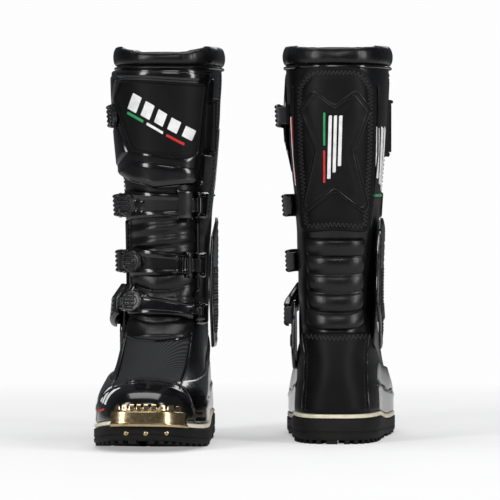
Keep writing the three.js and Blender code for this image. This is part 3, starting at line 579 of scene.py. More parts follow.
def add(name, mesh, material, body, replaces=(), sharp=38, subdivide=0):
    """Puts one shape on both boots. A piece on the body named ankle is baked into place and hung from no
    body.
    """
    verts, faces = mesh
    for side, (to_row, sign) in PLACES.items():
        data = bpy.data.meshes.new(f"{side}_{name}")
        order = faces if sign > 0 else [f[::-1] for f in faces]
        data.from_pydata(to_row(verts).tolist(), [], order)
        data.validate()
        obj = bpy.data.objects.new(f"{side}_{name}_looks", data)
        bpy.context.collection.objects.link(obj)
        look, slot = MATERIALS[material]
        data.materials.append(look)
        fix_normals(data)
        data.shade_smooth()
        data.set_sharp_from_angle(angle=math.radians(sharp))
        if subdivide:
            m = obj.modifiers.new("smooth", "SUBSURF")
            m.levels = m.render_levels = subdivide
        if body == "ankle":
            start, end = to_row([[0, ANKLE_Y, 112], [0, ANKLE_Y, 180]])
            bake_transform(obj)
        else:
            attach(obj, f"{side}_{body}")
        if replaces:
            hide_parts(*[f"{side}_{node}" for node in replaces])


def fix_normals(data):
    """Turns the faces outward."""
    b = bmesh.new()
    b.from_mesh(data)
    bmesh.ops.recalc_face_normals(b, faces=b.faces)
    b.to_mesh(data)
    b.free()


# ---- Camera, light and floor ----
camera = bpy.data.objects.new("camera", bpy.data.cameras.new("camera"))
bpy.context.collection.objects.link(camera)
camera.location = (0, -4.0, 0.26)
target = Vector((0.0, 0, 0.2))
camera.rotation_euler = (target - camera.location).to_track_quat("-Z", "Y").to_euler()
camera.data.sensor_width = 36
camera.data.lens = 272
bpy.context.scene.camera = camera


def lamp(name, place, size, power, aim=(0, 0, 0.2)):
    light = bpy.data.lights.new(name, "AREA")
    light.shape = "RECTANGLE"
    light.size, light.size_y = size
    light.energy = power
    obj = bpy.data.objects.new(name, light)
    obj.location = place
    obj.rotation_euler = (Vector(aim) - Vector(place)).to_track_quat("-Z", "Y").to_euler()
    bpy.context.collection.objects.link(obj)


lamp("key", (-1.5, -1.7, 1.1), (0.5, 1.5), 30)
lamp("fill", (1.6, -1.2, 0.9), (0.35, 1.5), 22)
lamp("front", (0.1, -2.6, 1.9), (1.4, 0.5), 16)
lamp("top", (0, 0.1, 1.9), (1.4, 0.9), 16)
lamp("behind", (0.3, 2.2, 1.3), (1.4, 0.5), 8)

BACKGROUND = (0.985, 0.985, 0.985, 1)


def studio_world():
    """Pale to look at, dim to be lit by, so that the black stays black."""
    world = bpy.data.worlds.new("studio")
    world.use_nodes = True
    tree = world.node_tree
    seen = tree.nodes["Background"]
    seen.inputs["Color"].default_value = BACKGROUND
    seen.inputs["Strength"].default_value = 1.0
    lighting = node(tree, "Background", {"Color": (0.9, 0.93, 1.0, 1), "Strength": 0.1})
    mix = node(tree, "MixShader", links={"Fac": node(tree, "LightPath").outputs["Is Camera Ray"],
                                         1: lighting.outputs["Background"], 2: seen.outputs["Background"]})
    tree.links.new(mix.outputs["Shader"], tree.nodes["World Output"].inputs["Surface"])
    bpy.context.scene.world = world


def floor():
    """A round pale floor that fades to the colour behind it, so no horizon shows."""
    count, reach = 96, 30.0
    verts = [(reach * math.cos(t), reach * math.sin(t), 0) for t in full_turn(count)]
    data = bpy.data.meshes.new("floor")
    data.from_pydata(verts, [], [list(range(count))])
    obj = bpy.data.objects.new("floor", data)
    bpy.context.collection.objects.link(obj)
    pale = new_material("floor", (0.6, 0.6, 0.6), 0.8, specular=0.2)
    tree = pale.node_tree
    away = node(tree, "VectorMath", links={0: node(tree, "TexCoord").outputs["Object"]})
    away.operation = "LENGTH"
    camera_ray = node(tree, "LightPath").outputs["Is Camera Ray"]
    color_by(pale, texture(pale, "Noise", 3, 3), (0.9, 0.9, 0.9), (0.93, 0.93, 0.93))
    fade = node(tree, "MapRange", {"From Min": 0.2, "From Max": 1.2, "To Min": 0.35},
                {"Value": away.outputs["Value"]})
    seen = node(tree, "Math", links={0: fade.outputs["Result"], 1: camera_ray})
    seen.operation = "MULTIPLY"
    glow = node(tree, "Emission", {"Color": BACKGROUND})
    mix = node(tree, "MixShader", links={"Fac": seen.outputs["Value"], 1: shader_of(pale).outputs["BSDF"],
                                         2: glow.outputs["Emission"]})
    tree.links.new(mix.outputs["Shader"], tree.nodes["Material Output"].inputs["Surface"])
    data.materials.append(pale)


studio_world()
bpy.context.scene.view_settings.view_transform = "Standard"
floor()


# ---- Sole ----
def plan_ring(margin, height, count=160):
    """The foot's outline grown by a margin, at a height over the heel's floor level."""
    p = skin(full_turn(count) + 0.01, np.full(count, float(UPPER_BOTTOM)), margin)
    share = min(1.0, height / OUTSOLE_TOP)
    z = height + toe_rise(p[:, 1]) - forefoot_drop(p[:, 1]) * share
    return np.stack([p[:, 0], p[:, 1], np.maximum(z, 0)], 1)


def ring_stack(margins_and_heights):
    """A solid through the foot's outline, grown by each margin at its height."""
    rings = [plan_ring(margin, height) for margin, height in margins_and_heights]
    return np.concatenate(rings), ring_faces(len(rings), len(rings[0]))


BOX = [[3, 2, 1, 0], [4, 5, 6, 7], [0, 1, 5, 4], [1, 2, 6, 5], [2, 3, 7, 6], [3, 0, 4, 7]]
LUG_HEIGHT, EDGE_LUGS = 5.0, 78


def tread():
    """The side wall with its grooves, and lugs that stand under it."""
    parts = [ring_stack([(3.2, 4.0), (4.2, 4.5), (4.9, 6), (5, 11), (4.2, 11.6), (4.2, 12.8), (5, 13.4),
                         (5, 24.5), (4.4, 25.6), (3.4, 26.2)])]
    ring = plan_ring(3.4, LUG_HEIGHT, count=EDGE_LUGS)
    inner = plan_ring(-11, LUG_HEIGHT, count=EDGE_LUGS)
    for k in range(0, EDGE_LUGS, 2):
        after = (k + 1) % EDGE_LUGS
        corners = ring[k], ring[after], inner[after], inner[k]
        foot = [np.array([q[0], q[1], float(toe_rise(q[1]))]) for q in corners]
        parts.append((np.array([*foot, *corners]), BOX))
    for y in np.arange(-190, 80, 15.0):
        width = float(np.interp(y, [-200, -150, -100, -10, 50, 85], [28, 36, 38, 28, 30, 24]))
        rise = float(toe_rise(y))
        for side in (-1, 1):
            x0, x1, slant = side * 3, side * width, 5
            foot = [(x0, y - 4), (x1, y - 4 + slant), (x1, y + 5 + slant), (x0, y + 5)]
            low = np.array([[p, q, rise] for p, q in foot[::side]])
            parts.append((np.concatenate([low, low + np.array([0, 0, LUG_HEIGHT])]), BOX))
    return joined(*parts)


add("tread", tread(), "tread", "foot", ["outsole"], sharp=30)
add("welt_band", ring_stack([(3.0, 26.6), (4.2, 27.1), (4.6, 28.6), (4.2, 30.2), (3.0, 30.8)]),
    "cream", "foot", ["welt"])
add("insole", ring_stack([(-9, 35.6), (-8, 37), (-8.4, 39), (-10, 39.6)]), "lining", "foot", ["footbed"])

# ---- Leather skin over the foot, ankle and shaft ----
AROUND = 168
SKIN_LEVELS = np.concatenate([np.arange(31.3, 50, 2.5), np.arange(50, 118, 1.5), np.arange(118, 260, 2.2),
                              np.arange(260, 391, 4.0), [391.5]])
LINING_LEVELS = np.concatenate([np.arange(44, 391, 6.0), [391.5]])


def folds(angle, level):
    """Soft creases: across the instep under the bands, and a light waviness elsewhere."""
    wrapped_angle = (angle + np.pi) % (2 * np.pi) - np.pi
    slant = level + 6 * np.sin(wrapped_angle)
    zone = np.clip((level - 192) / 8, 0, 1) * np.clip((262 - level) / 12, 0, 1)
    crease = 3.0 * zone * (0.5 + 0.5 * np.cos(2 * np.pi * (slant - 196) / 14.0)) ** 0.7 - 1.2 * zone
    small = 0.35 * np.sin(level * 0.11 + 3 * wrapped_angle) * np.sin(level * 0.053 - 2 * wrapped_angle)
    ahead = np.exp(-((np.degrees(np.abs(wrapped_angle)) / 50) ** 4))
    return crease * ahead + small * (level > 120)


def leather_shell(inner, outer, levels, relief):
    a, l = (grid.ravel() for grid in np.meshgrid(full_turn(AROUND), levels, indexing="ij"))
    faces = grid_faces(AROUND, len(levels), closed=True)
    return thick_sheet(skin(a, l, outer + relief(a, l)), skin(a, l, inner), faces)


add("leather_skin", leather_shell(-2.5, 0.0, SKIN_LEVELS, folds), "leather", "ankle",
    ["foot_upper", "shaft_upper"], sharp=60)
add("lining_sleeve", leather_shell(-6.5, -2.8, LINING_LEVELS, lambda a, l: 0.2 * np.sin(l * 0.4)),
    "lining", "ankle", ["ankle_liner"], sharp=60)

# ---- Bellows ----
def sheet_area(middle_deg, reach_deg, low, high, round_by=0):
    """A stretch of the surface to both sides of an angle, whose lower corners may be rounded off."""
    def area(s, t):
        bottom = low + round_by * np.abs(2 * s - 1) ** 3
        return np.radians(middle_deg + reach_deg * (2 * s - 1)), bottom + (high - bottom) * t
    return area


def pillows(t, count, depth):
    """Round ribs side by side, 0 at their tops and -depth in the seams."""
    phase = (t * count) % 1
    return depth * (np.clip(1 - (2 * phase - 1) ** 2, 0, 1) ** 0.5 - 1)


def heel_ribs(s, t):
    across = np.sin(np.pi * s)
    return pillows(t, 5, 4.4) * (0.6 + 0.4 * across) + 1.1 * across


def instep_pleats(s, t):
    return pillows(t + 0.05 * np.cos(np.pi * (2 * s - 1)), 4, 2.4) + 0.3 * np.sin(14 * s + 9 * t)


add("achilles_pad", wrapped(sheet_area(180, 37, 117, 214, 7), 60, 92, 0.3, 5.4, 4.0, heel_ribs, 0.3),
    "soft", "ankle", ["achilles_bellows"], sharp=70)
add("instep_pad", wrapped(sheet_area(0, 41, 110, 178), 50, 66, 0.3, 4.4, 3.0, instep_pleats, 0.3),
    "soft", "ankle", ["instep_bellows"], sharp=70)


# ---- Foot: cap, woven panel, shells, heel cup ----
def cap_area(s, t):
    """The toe as far back as the cap's edge."""
    edge = float(angle_seen("lateral", TOE_CAP_BACK_Y, 36.0))
    angle = edge * (2 * s - 1)
    steps = np.linspace(UPPER_BOTTOM, 90, 120)
    tops = [np.interp(TOE_CAP_BACK_Y, leather(abs(turn), steps)[:, 1], steps) for turn in angle[:, 0]]
    return angle, 31.4 + t * (np.maximum(tops, 36)[:, None] - 31.4)


def cap_relief(s, t):
    """A pressed line round the cap, parallel to its back edge."""
    return 0.8 * ridge(t, 0.84, 0.05) - 0.5 * ridge(t, 0.93, 0.02)


def vamp_area(s, t):
    low = 64.5 - 7 * (2 * s - 1) ** 2
    level = low + t * (112 - low)
    return angle_seen("front", 32.4 * (2 * s - 1), level), level


SIDE_SHELL = [[-165, 32.2], [29, 32.2], [29, 78], [10, 84], [-60, 80], [-120, 74], [-165, 71]]


def shell_relief(y, level, distance):
    """A pressed line along the shell."""
    line = 52 + 0.06 * (y + 60)
    return ridge(level, line, 2.2) - 0.6 * ridge(level, line + 5, 1.4)


def heel_area(s, t):
    """The cup round the heel: high behind, low at its front ends."""
    top = np.interp(np.abs(2 * s - 1), [0, 0.42, 0.75, 1], [115.6, 115, 84, 77])
    return np.pi + math.radians(113) * (2 * s - 1), 31.6 + t * (top - 31.6)


add("toe_cap_shell", wrapped(cap_area, 96, 36, 0.3, 3.2, 2.0, cap_relief), "gloss", "foot", ["toe_cap"])
add("vamp_weave", wrapped(vamp_area, 44, 44, 0.3, 2.8, 1.5), "mesh", "foot", ["vamp_panel"], sharp=60)
for view in ("lateral", "medial"):
    add(f"{view}_shell", plate(SIDE_SHELL, view, 0.3, 3.2, 2.0, 3.4, shell_relief), "gloss", "foot",
        [f"{view}_foot_shell"])
add("heel_cup", wrapped(heel_area, 96, 34, 0.3, 2.9, 2.0), "matte", "foot", ["heel_counter"])


FLAP = [[-26, 80], [10, 73], [36, 92], [31, 128], [14, 147], [-14, 148], [-28, 118]]
ARM_FACE, FLAP_FACE = 44.6, 47.8  # how far out the ankle arm and the flap reach


def ankle_flap():
    """A flat plate beside the ankle, on the lateral side."""
    flat, faces, rise = moulded(FLAP, FLAP_FACE - ARM_FACE, 2.2, 3, lambda y, z, d: 0.7 * ridge(d, 6, 1.6), 5)
    top, bottom = (np.stack([out - ARM_FACE, *flat], 1) for out in (-rise, 0 * rise))
    return thick_sheet(top, bottom, faces)


RIGHT, BACK, UP = np.eye(3)
add("ankle_flap", ankle_flap(), "gloss", "foot")
pin_spot = (np.array([-47.4, ANKLE_Y, ANKLE_Z]), BACK, UP, -RIGHT)
rivet = [(7, 0), (7, 1.2), (6.2, 2.0), (4.2, 2.0), (3.8, 1.2), (2.4, 1.2), (2.0, 1.7), (0.5, 1.8)]
add("ankle_rivet", turned(rivet, pin_spot), "steel", "foot")


# ---- Toe guard ----
GUARD_HALF, GUARD_TEETH, GUARD_SHIFT = 31, 9, 7
GUARD_ROWS = [[3.6, 0], [4.6, 0.7], [5.0, 3.2], [5.4, 5.0], [7.4, 5.9], [8.8, 6.8], [9.2, 8.6], [9.2, 16.2],
              [9.5, 17.4], [10.6, 18.0], [10.8, 19.4], [10.2, 20.8], [9.0, 21.3]]
GUARD_TOP, GUARD_TOOTH, STUD_LEVEL = 46.5, 3.4, 43.6


def front_point(x, level, offset):
    """A point ahead of the toe, carried straight down below the upper's own bottom."""
    on = np.maximum(level, UPPER_BOTTOM + 0.3)
    angle = angle_seen("front", x, on)
    p = skin(angle, on, offset)
    p[..., 2] += level - on
    return p


def guard_mesh():
    """A metal bumper: toothed where it lies on the cap, stepped out over the welt, with a rolled lip."""
    xs = np.linspace(-GUARD_HALF, GUARD_HALF, GUARD_TEETH * 14 + 1)
    rows = np.array(GUARD_ROWS)
    x, k = np.meshgrid(xs, np.arange(len(rows)), indexing="ij")
    phase = ((x + GUARD_HALF) / (2 * GUARD_HALF) * GUARD_TEETH) % 1
    notch = np.clip((0.16 - np.minimum(phase, 1 - phase)) / 0.06, 0, 1)
    end = np.clip((np.abs(x) - GUARD_HALF + 3) / 3, 0, 1)
    down = rows[k, 1] + notch * GUARD_TOOTH * np.clip(1 - rows[k, 1] / 3.4, 0, 1) + 1.2 * end * (k < 4)
    offset = rows[k, 0] - 1.2 * end**2
    place = x.ravel() + GUARD_SHIFT, (GUARD_TOP - down).ravel()
    out, back = front_point(*place, offset.ravel()), front_point(*place, (offset - 1.6).ravel())
    return thick_sheet(out, back, grid_faces(len(xs), len(rows)))


def guard_studs():
    parts = []
    for k in range(GUARD_TEETH):
        x = GUARD_SHIFT + GUARD_HALF * ((2 * k + 1) / GUARD_TEETH - 1)
        place = spot(math.degrees(angle_seen("front", x, STUD_LEVEL)), STUD_LEVEL, 4.6)
        parts.append(turned([(1.3, 0), (1.3, 0.5), (0.9, 0.8), (0.4, 0.9)], place, 12))
    return joined(*parts)


def sole_rivets():
    parts = []
    ring = plan_ring(4.9, 17.5)
    front = ring[ring[:, 1] < -150]
    front = front[np.argsort(front[:, 0])]
    for x in (GUARD_SHIFT - 20, GUARD_SHIFT, GUARD_SHIFT + 20):
        place = (np.array([x, np.interp(x, front[:, 0], front[:, 1]) + 0.4, 17.5 + 2.0]), RIGHT, UP, -BACK)
        parts.append(turned([(2.4, 0), (2.4, 0.8), (1.6, 1.5), (0.5, 1.7)], place, 16))
    return joined(*parts)


add("toe_guard_plate", guard_mesh(), "bronze", "foot", ["toe_guard"])
add("toe_guard_studs", guard_studs(), "steel", "foot")
add("sole_rivets", sole_rivets(), "bronze", "foot")

# ---- Medial guard ----
MEDIAL_GUARD = [[12, 97], [38, 97], [55, 140], [51, 222], [37, 236], [18, 228], [-3, 214], [-7, 150]]
RIB_PANEL = [[10, 112], [38, 112], [46, 145], [44, 182], [4, 182], [0, 150]]


def beside_arm(out):
    """Keeps a piece outside the flat ankle arm, and on the surface where the boot is wider."""
    def base(y, level):
        angle = angle_seen("medial", y, level)
        flush = ARM_FACE - np.abs(leather(angle, level)[:, 0])
        return np.maximum(3.6, flush) + out
    return base


add("inner_guard", plate(MEDIAL_GUARD, "medial", beside_arm(0), 3.0, 2.6, 3.0,
                         lambda y, z, d: 0.8 * ridge(d, 5, 1.5)), "gloss", "shaft", ["medial_guard"])
add("inner_guard_ribs", plate(RIB_PANEL, "medial", beside_arm(2.9), 0.9, 1.2, 1.3,
                              lambda y, z, d: 0.55 * np.cos(2 * np.pi * z / 3.4) * np.clip(d / 2, 0, 1)),
    "matte", "shaft")

# ---- Calf ----
CALF_PANEL = [[-34, 219], [0, 222], [34, 219], [40, 300], [41, 352], [41, 372], [26, 391], [-26, 391],
              [-41, 372], [-41, 352], [-40, 300]]
CALF_X = [[0, 350], [21, 366], [34, 347], [19, 304], [31, 246], [27, 241], [0, 264], [-27, 241], [-31, 246],
          [-19, 304], [-34, 347], [-21, 366]]
CALF_PRINT = 7.5  # how far the printed marks lie off the leather


def inset(outline, by):
    """The same outline drawn a little way in."""
    loop = fine(smoothed(outline, 9), 1.5, True)
    return loop + inward(loop) * by


def calf_relief(x, level, distance):
    """A sunk band for the stitching, between the rim and the field."""
    return -0.9 * np.clip(3 - 3 * np.abs(distance - 6.5) / 4.2, 0, 1)


def zigzag_seam(line, view, offset):
    return tube(fine(on_skin(zigzag(line, 5, 4), view, offset), 1.1), 0.5, 6)


calf_seam = inset(CALF_PANEL, 6.5)
add("calf_cover", plate(CALF_PANEL, "back", 0.3, 3.1, 1.8, 2.6, calf_relief, 9), "matte", "shaft",
    ["calf_panel"])
add("calf_zigzag", zigzag_seam([*calf_seam, calf_seam[0]], "back", 2.9), "thread", "shaft")
add("calf_x", plate(CALF_X, "back", 3.2, 4.4, 3.0, 2.2, lambda x, z, d: -0.9 * ridge(d, 6, 1.1), 4),
    "matte", "shaft", ["calf_plate"])


def bars(view, corner, size, slant, count, base):
    """Plain leaning bars side by side: corner and size are across and up."""
    parts = []
    pitch = size[0] / count
    for k in range(count):
        x = corner[0] + k * pitch
        short = 0.1 * size[1] * k
        foot, head, step = corner[1] + short, corner[1] + size[1], slant * 0.2
        right = x + 0.62 * pitch
        outline = [[x, foot], [right, foot + step], [right + slant, head + step], [x + slant, head]]
        parts.append(plate(outline, view, base, 0.5, 0.5, 2.5, None, 1.0))
    return joined(*parts)


def printed_line(start, end, view, base):
    """A thin upright or level rectangle between two opposite corners."""
    (x0, z0), (x1, z1) = start, end
    return plate([[x0, z0], [x1, z0], [x1, z1], [x0, z1]], view, base, 0.5, 0.5, 2, None, 0.5)


def cord(points, view, offset, radius):
    """A thin round line along points seen from one side."""
    return tube(on_skin(fine(points, 1.5), view, offset), radius, 6)


add("calf_bars", bars("back", [-7, 276], [15, 64], 1.5, 3, CALF_PRINT), "white", "shaft")
add("calf_line_green", printed_line([-10.5, 310], [-8.6, 343], "back", CALF_PRINT), "green", "shaft")
add("calf_line_red", printed_line([-10.5, 272], [-8.6, 305], "back", CALF_PRINT), "red", "shaft")
add("toe_side_bars", bars("lateral", [-196, 47], [24, 17], 6, 3, 3.4), "white", "foot")
add("toe_side_line", printed_line([-194, 42], [-170, 44.4], "lateral", 3.4), "red", "foot")
add("side_mark", bars("medial", [22, 262], [42, 66], 10, 3, 0.3), "white", "shaft")
add("side_mark_green", cord([[18, 258], [60, 258]], "medial", 0.6, 1.3), "green", "shaft")
add("side_stripe_red", cord([[56, 268], [60, 340]], "lateral", 0.5, 0.9), "red", "shaft")
add("side_stripe_white", cord([[52.5, 268], [56.5, 340]], "lateral", 0.5, 0.7), "white", "shaft")

# ---- Shin plate ----
SHIN = [[-45, 281], [-24, 270], [-6, 265], [16, 266], [20, 269], [38, 269], [46, 389], [-52, 389],
        [-52, 320]]
SHIN_PANEL = [[-26, 305], [24, 297], [32, 301], [40, 373], [-38, 378], [-46, 360]]


PANEL_EDGE = resampled(smoothed(SHIN_PANEL, 2.0), 3.0)


def shin_relief(x, level, distance):
    """A sunk middle inside a raised rim."""
    places = np.stack([x, level], 1)
    deep = edge_distance(places, PANEL_EDGE) * np.where(inside(places, PANEL_EDGE), 1, -1)
    share = np.clip((deep + 2.5) / 5.0, 0, 1)
    return -1.7 * share * share * (3 - 2 * share)


def edge_bead(outline, corner, view, offset, radius, sides):
    """A bead along the whole of an outline."""
    return tube(on_skin(resampled(smoothed(outline, corner), 2.0), view, offset), radius, sides, True)


add("shin_cover", plate(SHIN, "front", 3.6, 3.2, 3.0, 1.7, shin_relief, 4), "gloss", "plate",
    ["shin_plate"], sharp=24)
add("shin_field", plate(SHIN_PANEL, "front", 5.2, 0.9, 1.0, 3.0, None, 3), "matte", "plate")
add("shin_rim", edge_bead(SHIN_PANEL, 3.0, "front", 6.3, 1.5, 8), "matte", "plate")
SHIN_FACE = 5.6  # how far the plate's facets and printed marks lie off the leather
FACETS = {  # outline, thickness and bevel
    "lip": ([[-45, 284], [-26, 295], [34, 286], [37, 271], [18, 269], [-5, 266], [-26, 273]], 3.6, 5.0),
    "cheek_low": ([[-50, 326], [-44, 336], [-30, 303], [-45, 288]], 3.2, 4.2),
    "cheek_high": ([[-51, 385], [-42, 380], [-48, 360], [-52, 346]], 3.0, 3.2),
    "strip": ([[35.5, 300], [44, 299], [47.5, 380], [44, 380], [42, 374]], 2.4, 2.6),
    "brow": ([[-41, 381], [41, 376], [46, 386], [-47, 388]], 2.4, 3.2),
}
for facet, (outline, thick, bevel) in FACETS.items():
    add(f"shin_{facet}", plate(outline, "front", SHIN_FACE, thick, bevel, 2.0, None, 1.2, 0.25),
        "gloss", "plate", sharp=20)


def leaning_block(x, level, along, up):
    """A parallelogram about a place, whose sides run down to the right and lean."""
    middle, u, v = np.array([x, level]), along * np.array([0.83, -0.52]), up * np.array([0.34, 0.94])
    return [middle - u - v, middle + u - v, middle + u + v, middle - u + v]


BADGE = [leaning_block(-24 + 12.6 * k, 354.5 - 7.9 * k, 5.2, 8.6 - 0.7 * k) for k in range(5)]
add("shin_badge", joined(*[plate(o, "front", SHIN_FACE, 0.7, 0.5, 2.0, None, 0.8) for o in BADGE]),
    "white", "plate")
for number, shade in enumerate(["green", "white", "red"]):
    tab = leaning_block(-23.5 + 19 * number, 340 - 11.9 * number, 9.6, 1.5)
    add(f"shin_line_{shade}", plate(tab, "front", SHIN_FACE, 0.7, 0.5, 2.0, None, 0.5), shade, "plate")


# ---- Straps, levers and catches ----
BAND_START, BAND_END = 6, 7  # degrees from the band's pin to its start, and from its end to the buckle's pin


def strap_area(level, start, end, height, drop=0.0):
    """A stretch of the surface between two angles, as high as given, whose end lies lower by the drop."""
    def area(s, t):
        return np.radians(start + (end - start) * s), level - drop * s + (t - 0.5) * height
    return area


def band_turn(f, s):
    """The degrees round the boot at a share of the band's length."""
    start = f["medial"] + BAND_START
    return start + (f["lever"] - BAND_END - start) * s


def band_area(f):
    """A band round the boot, which climbs by its rise and widens towards the buckle."""
    def area(s, t):
        tall = f["height"] * (0.86 + 0.44 * np.clip(1.5 * s - 0.35, 0, 1))
        return np.radians(band_turn(f, s)), f["level"] + f["rise"] * (2 * s - 1) + (t - 0.5) * tall
    return area


PITS = {  # columns in degrees round the boot, rows in millimetres up from the band's middle, size and depth
    "2": ([17, 25, 33], [-4.5, 4.5], 1.3, 1.0),
    "3": ([22], [0], 3.4, 1.1),
    "4": ([22], [0], 3.4, 1.1),
}


def band_relief(name, f):
    """A rail along both edges and round pits, and on the third band a ladder."""
    columns, rows, size, depth = PITS[name]

    def relief(s, t):
        total = 0.9 * ridge(np.abs(t - 0.5), 0.36, 0.05)
        for column in columns:
            for row in rows:
                away = ((band_turn(f, s) - column) * 0.85) ** 2 + ((t - 0.5) * f["height"] - row) ** 2
                total = total - depth * np.exp(-((away / size**2) ** 2))
        if name == "3":
            ladder = np.clip((0.3 - s) / 0.02, 0, 1) * np.clip((s - 0.06) / 0.02, 0, 1)
            total = total + 0.8 * ladder * np.sign(np.sin(s * 2 * np.pi * 26))
        return total

    return relief


def upright(angle_deg, level, offset, radius, height, cap=0.5):
    """A barrel or pin that stands upright beside the surface."""
    half = height / 2
    rings = [(radius - cap, -half), (radius, cap - half), (radius, half - cap), (radius - cap, half)]
    return turned(rings, (spot(angle_deg, level, offset)[0], RIGHT, BACK, UP), 20)


def block_piece(start, end, level, height, base, thick, edge=1.4):
    return wrapped(strap_area(level, start, end, height), 16, 18, base, thick, edge, None, 0.55)


def ears(start, end, level, apart, base, thick):
    """The two small blocks that hold a pin's ends."""
    return [block_piece(start, end, level + side * apart, 4, base, thick) for side in (-1, 1)]


def lever_ridges(s, t):
    """Finger ridges along the outer half of the lever."""
    outer = np.clip((s - 0.22) / 0.06, 0, 1) * np.clip((1 - s) / 0.06, 0, 1)
    return outer * (1.9 * np.abs(np.sin(t * 5 * np.pi)) ** 0.7 - 0.7)


def disc_profile(radius):
    rings = [(radius, 0), (radius, 3.2), (radius - 1.2, 4.4), (radius - 2.4, 4.4), (radius - 2.8, 3.6)]
    for k in range(5):
        r = radius - 3.4 - k * 1.4
        rings += [(r, 3.6 + 0.25 * (k % 2)), (r - 0.7, 3.9 - 0.25 * (k % 2))]
    return [(max(r, 0.3), h) for r, h in rings]


def disc_spot(angle_deg, level, offset, forward):
    """Where a buckle's round boss sits: turned part of the way to the front, on the lower three."""
    point, _, _, out = spot(angle_deg, level, offset)
    out = unit(out - 0.75 * BACK) if forward else out
    round_ = unit(np.cross(UP, out))
    return point, round_, np.cross(out, round_), out


PIN, BARREL = 1.7, 4  # radii


def add_buckle(name, f, band_body, lever_body, bed_body):
    """A lever on its pin, a round boss beside it, and the catch it hooks into."""
    lift, height, drop, turn = f["lift"], f["height"], f["drop"], f["lever"]
    level, hinge = f["level"] + f["rise"], 9.4 + lift
    holders = ears(turn - 8, turn + 1, level, height / 2 - 2, 4.4 + lift, 8.5)
    add(f"ears_{name}", joined(*holders, upright(turn, level, hinge, PIN, height + 1)), "gloss", band_body)

    body = wrapped(strap_area(level, turn + 5, f["tip"], 24, drop), 56, 50, 8.2 + lift, 4.6, 2.2,
                   lever_ridges, 0.5)
    neck = block_piece(turn + 1, turn + 8, level, height - 9, 7 + lift, 4.6)
    barrel = upright(turn, level, hinge, BARREL, height - 9)
    add(f"lever_{name}", joined(body, neck, barrel), "buckle", lever_body, [f"lever_{name}"])

    back = 5 if name == "1" else 14
    boss, across, upward, outward = disc_spot(turn - back, level, 7.4 + lift, name != "1")
    ribs = []
    for k in range(-2, 3):
        reach = math.sqrt(11.0**2 - (k * 3.9) ** 2)
        middle = boss + upward * k * 3.9 + outward * 4.2
        ribs.append(tube(np.linspace(middle - across * reach, middle + across * reach * 0.35, 8), 1.35, 8))
    disc = turned(disc_profile(11.5), (boss, across, upward, outward), 48)
    add(f"boss_{name}", joined(disc, *ribs), "buckle", band_body)

    seat = 0.5 if bed_body == "leather" else 3.9 + lift
    start, level = f["tip"] - 24, level - drop
    tongue = block_piece(start, f["tip"] + 8, level, 18, seat, 6.6 + lift - seat)
    hook = block_piece(f["tip"] + 3, f["tip"] + 8, level, 18, seat, 12.2 + lift - seat, 1.0)
    ladder = wrapped(strap_area(level, start, f["tip"] + 3, 14), 60, 10, 6.4 + lift, 0.5, 0.5,
                     lambda s, t: 0.5 * np.sign(np.sin(s * 2 * np.pi * 9)), 0.6)
    add(f"catch_{name}", joined(tongue, hook, ladder), "steel", "foot" if name == "4" else "shaft",
        [f"catch_{name}"])


def add_strap(name, f):
    """A band on its medial pin, the anchor that holds the pin, and a keeper round the band."""
    lift, height, turn = f["lift"], f["height"], f["medial"]
    low, hinge = f["level"] - f["rise"], 8.4 + lift
    band = wrapped(band_area(f), 96, 30, 4.4 + lift, 3.0, 1.6, band_relief(name, f), 0.45)
    neck = block_piece(turn + 1, turn + 11, low, height - 9, 5 + lift, 4.4)
    barrel = upright(turn, low, hinge, BARREL, height - 9)
    add(f"band_{name}", joined(band, neck, barrel), "gloss", f"band{name}", [f"strap_{name}"])

    root = block_piece(turn - 19, turn - 1, low, height + 3, 0.4, 7.5 + lift, 4.0)
    pin = upright(turn, low, hinge, PIN, height + 1)
    holders = ears(turn - 6, turn + 3, low, height / 2 - 2, 3.4, 9 + lift)
    add(f"anchor_{name}", joined(root, pin, *holders), "gloss", "foot" if name == "4" else "shaft")

    if name != "4":
        wide, tall = {"2": (19, 6), "3": (9, 3)}[name]
        start = turn + BAND_START + 1
        keeper = block_piece(start, start + wide, low + 0.5, height + tall, 4.6 + lift, 4.6, 2.6)
        add(f"keeper_{name}", keeper, "gloss", f"band{name}")


for strap_name, strap in STRAPS.items():
    add_strap(strap_name, strap)
    add_buckle(strap_name, strap, f"band{strap_name}", f"lever{strap_name}", "arm")
add_buckle("1", TOP_BUCKLE, "plate", "lever1", "leather")
HINGE_TURN, HINGE_LEVEL, HINGE_OUT = -58, 330, 7.6
add("plate_hinge_lug", joined(block_piece(HINGE_TURN - 9, HINGE_TURN - 3, HINGE_LEVEL, 60, 0.4, 7, 3.0),
                              *ears(HINGE_TURN - 5, HINGE_TURN + 4, HINGE_LEVEL, 28, 3.4, 7),
                              upright(HINGE_TURN, HINGE_LEVEL, HINGE_OUT, PIN, 61)), "matte", "shaft")
add("plate_knuckle", joined(upright(HINGE_TURN, HINGE_LEVEL, HINGE_OUT, BARREL, 51),
                            block_piece(HINGE_TURN + 1, -46, HINGE_LEVEL, 50, 4.6, 4.0)), "matte", "plate")


# ---- Collar ----
def collar_ring(count=150, rows=26):
    """The padded rim: a soft band whose top dips in front."""
    a, r = np.meshgrid(full_turn(count), full_turn(rows), indexing="ij")
    ahead = (a + np.pi) % (2 * np.pi) - np.pi
    dip = 6.5 * np.exp(-((ahead / 0.75) ** 4)) + 2.5 * np.exp(-(((a - np.pi) / 0.8) ** 2))
    low, high = COLLAR_BOTTOM + 0.2, HEIGHT - dip
    offset = -2.2 + 6.4 * power_of(np.cos(r), 0.75)
    level = (low + high) / 2 + power_of(np.sin(r), 0.8) * (high - low) / 2
    return skin(a.ravel(), level.ravel(), offset.ravel()), ring_faces(count, rows, True)


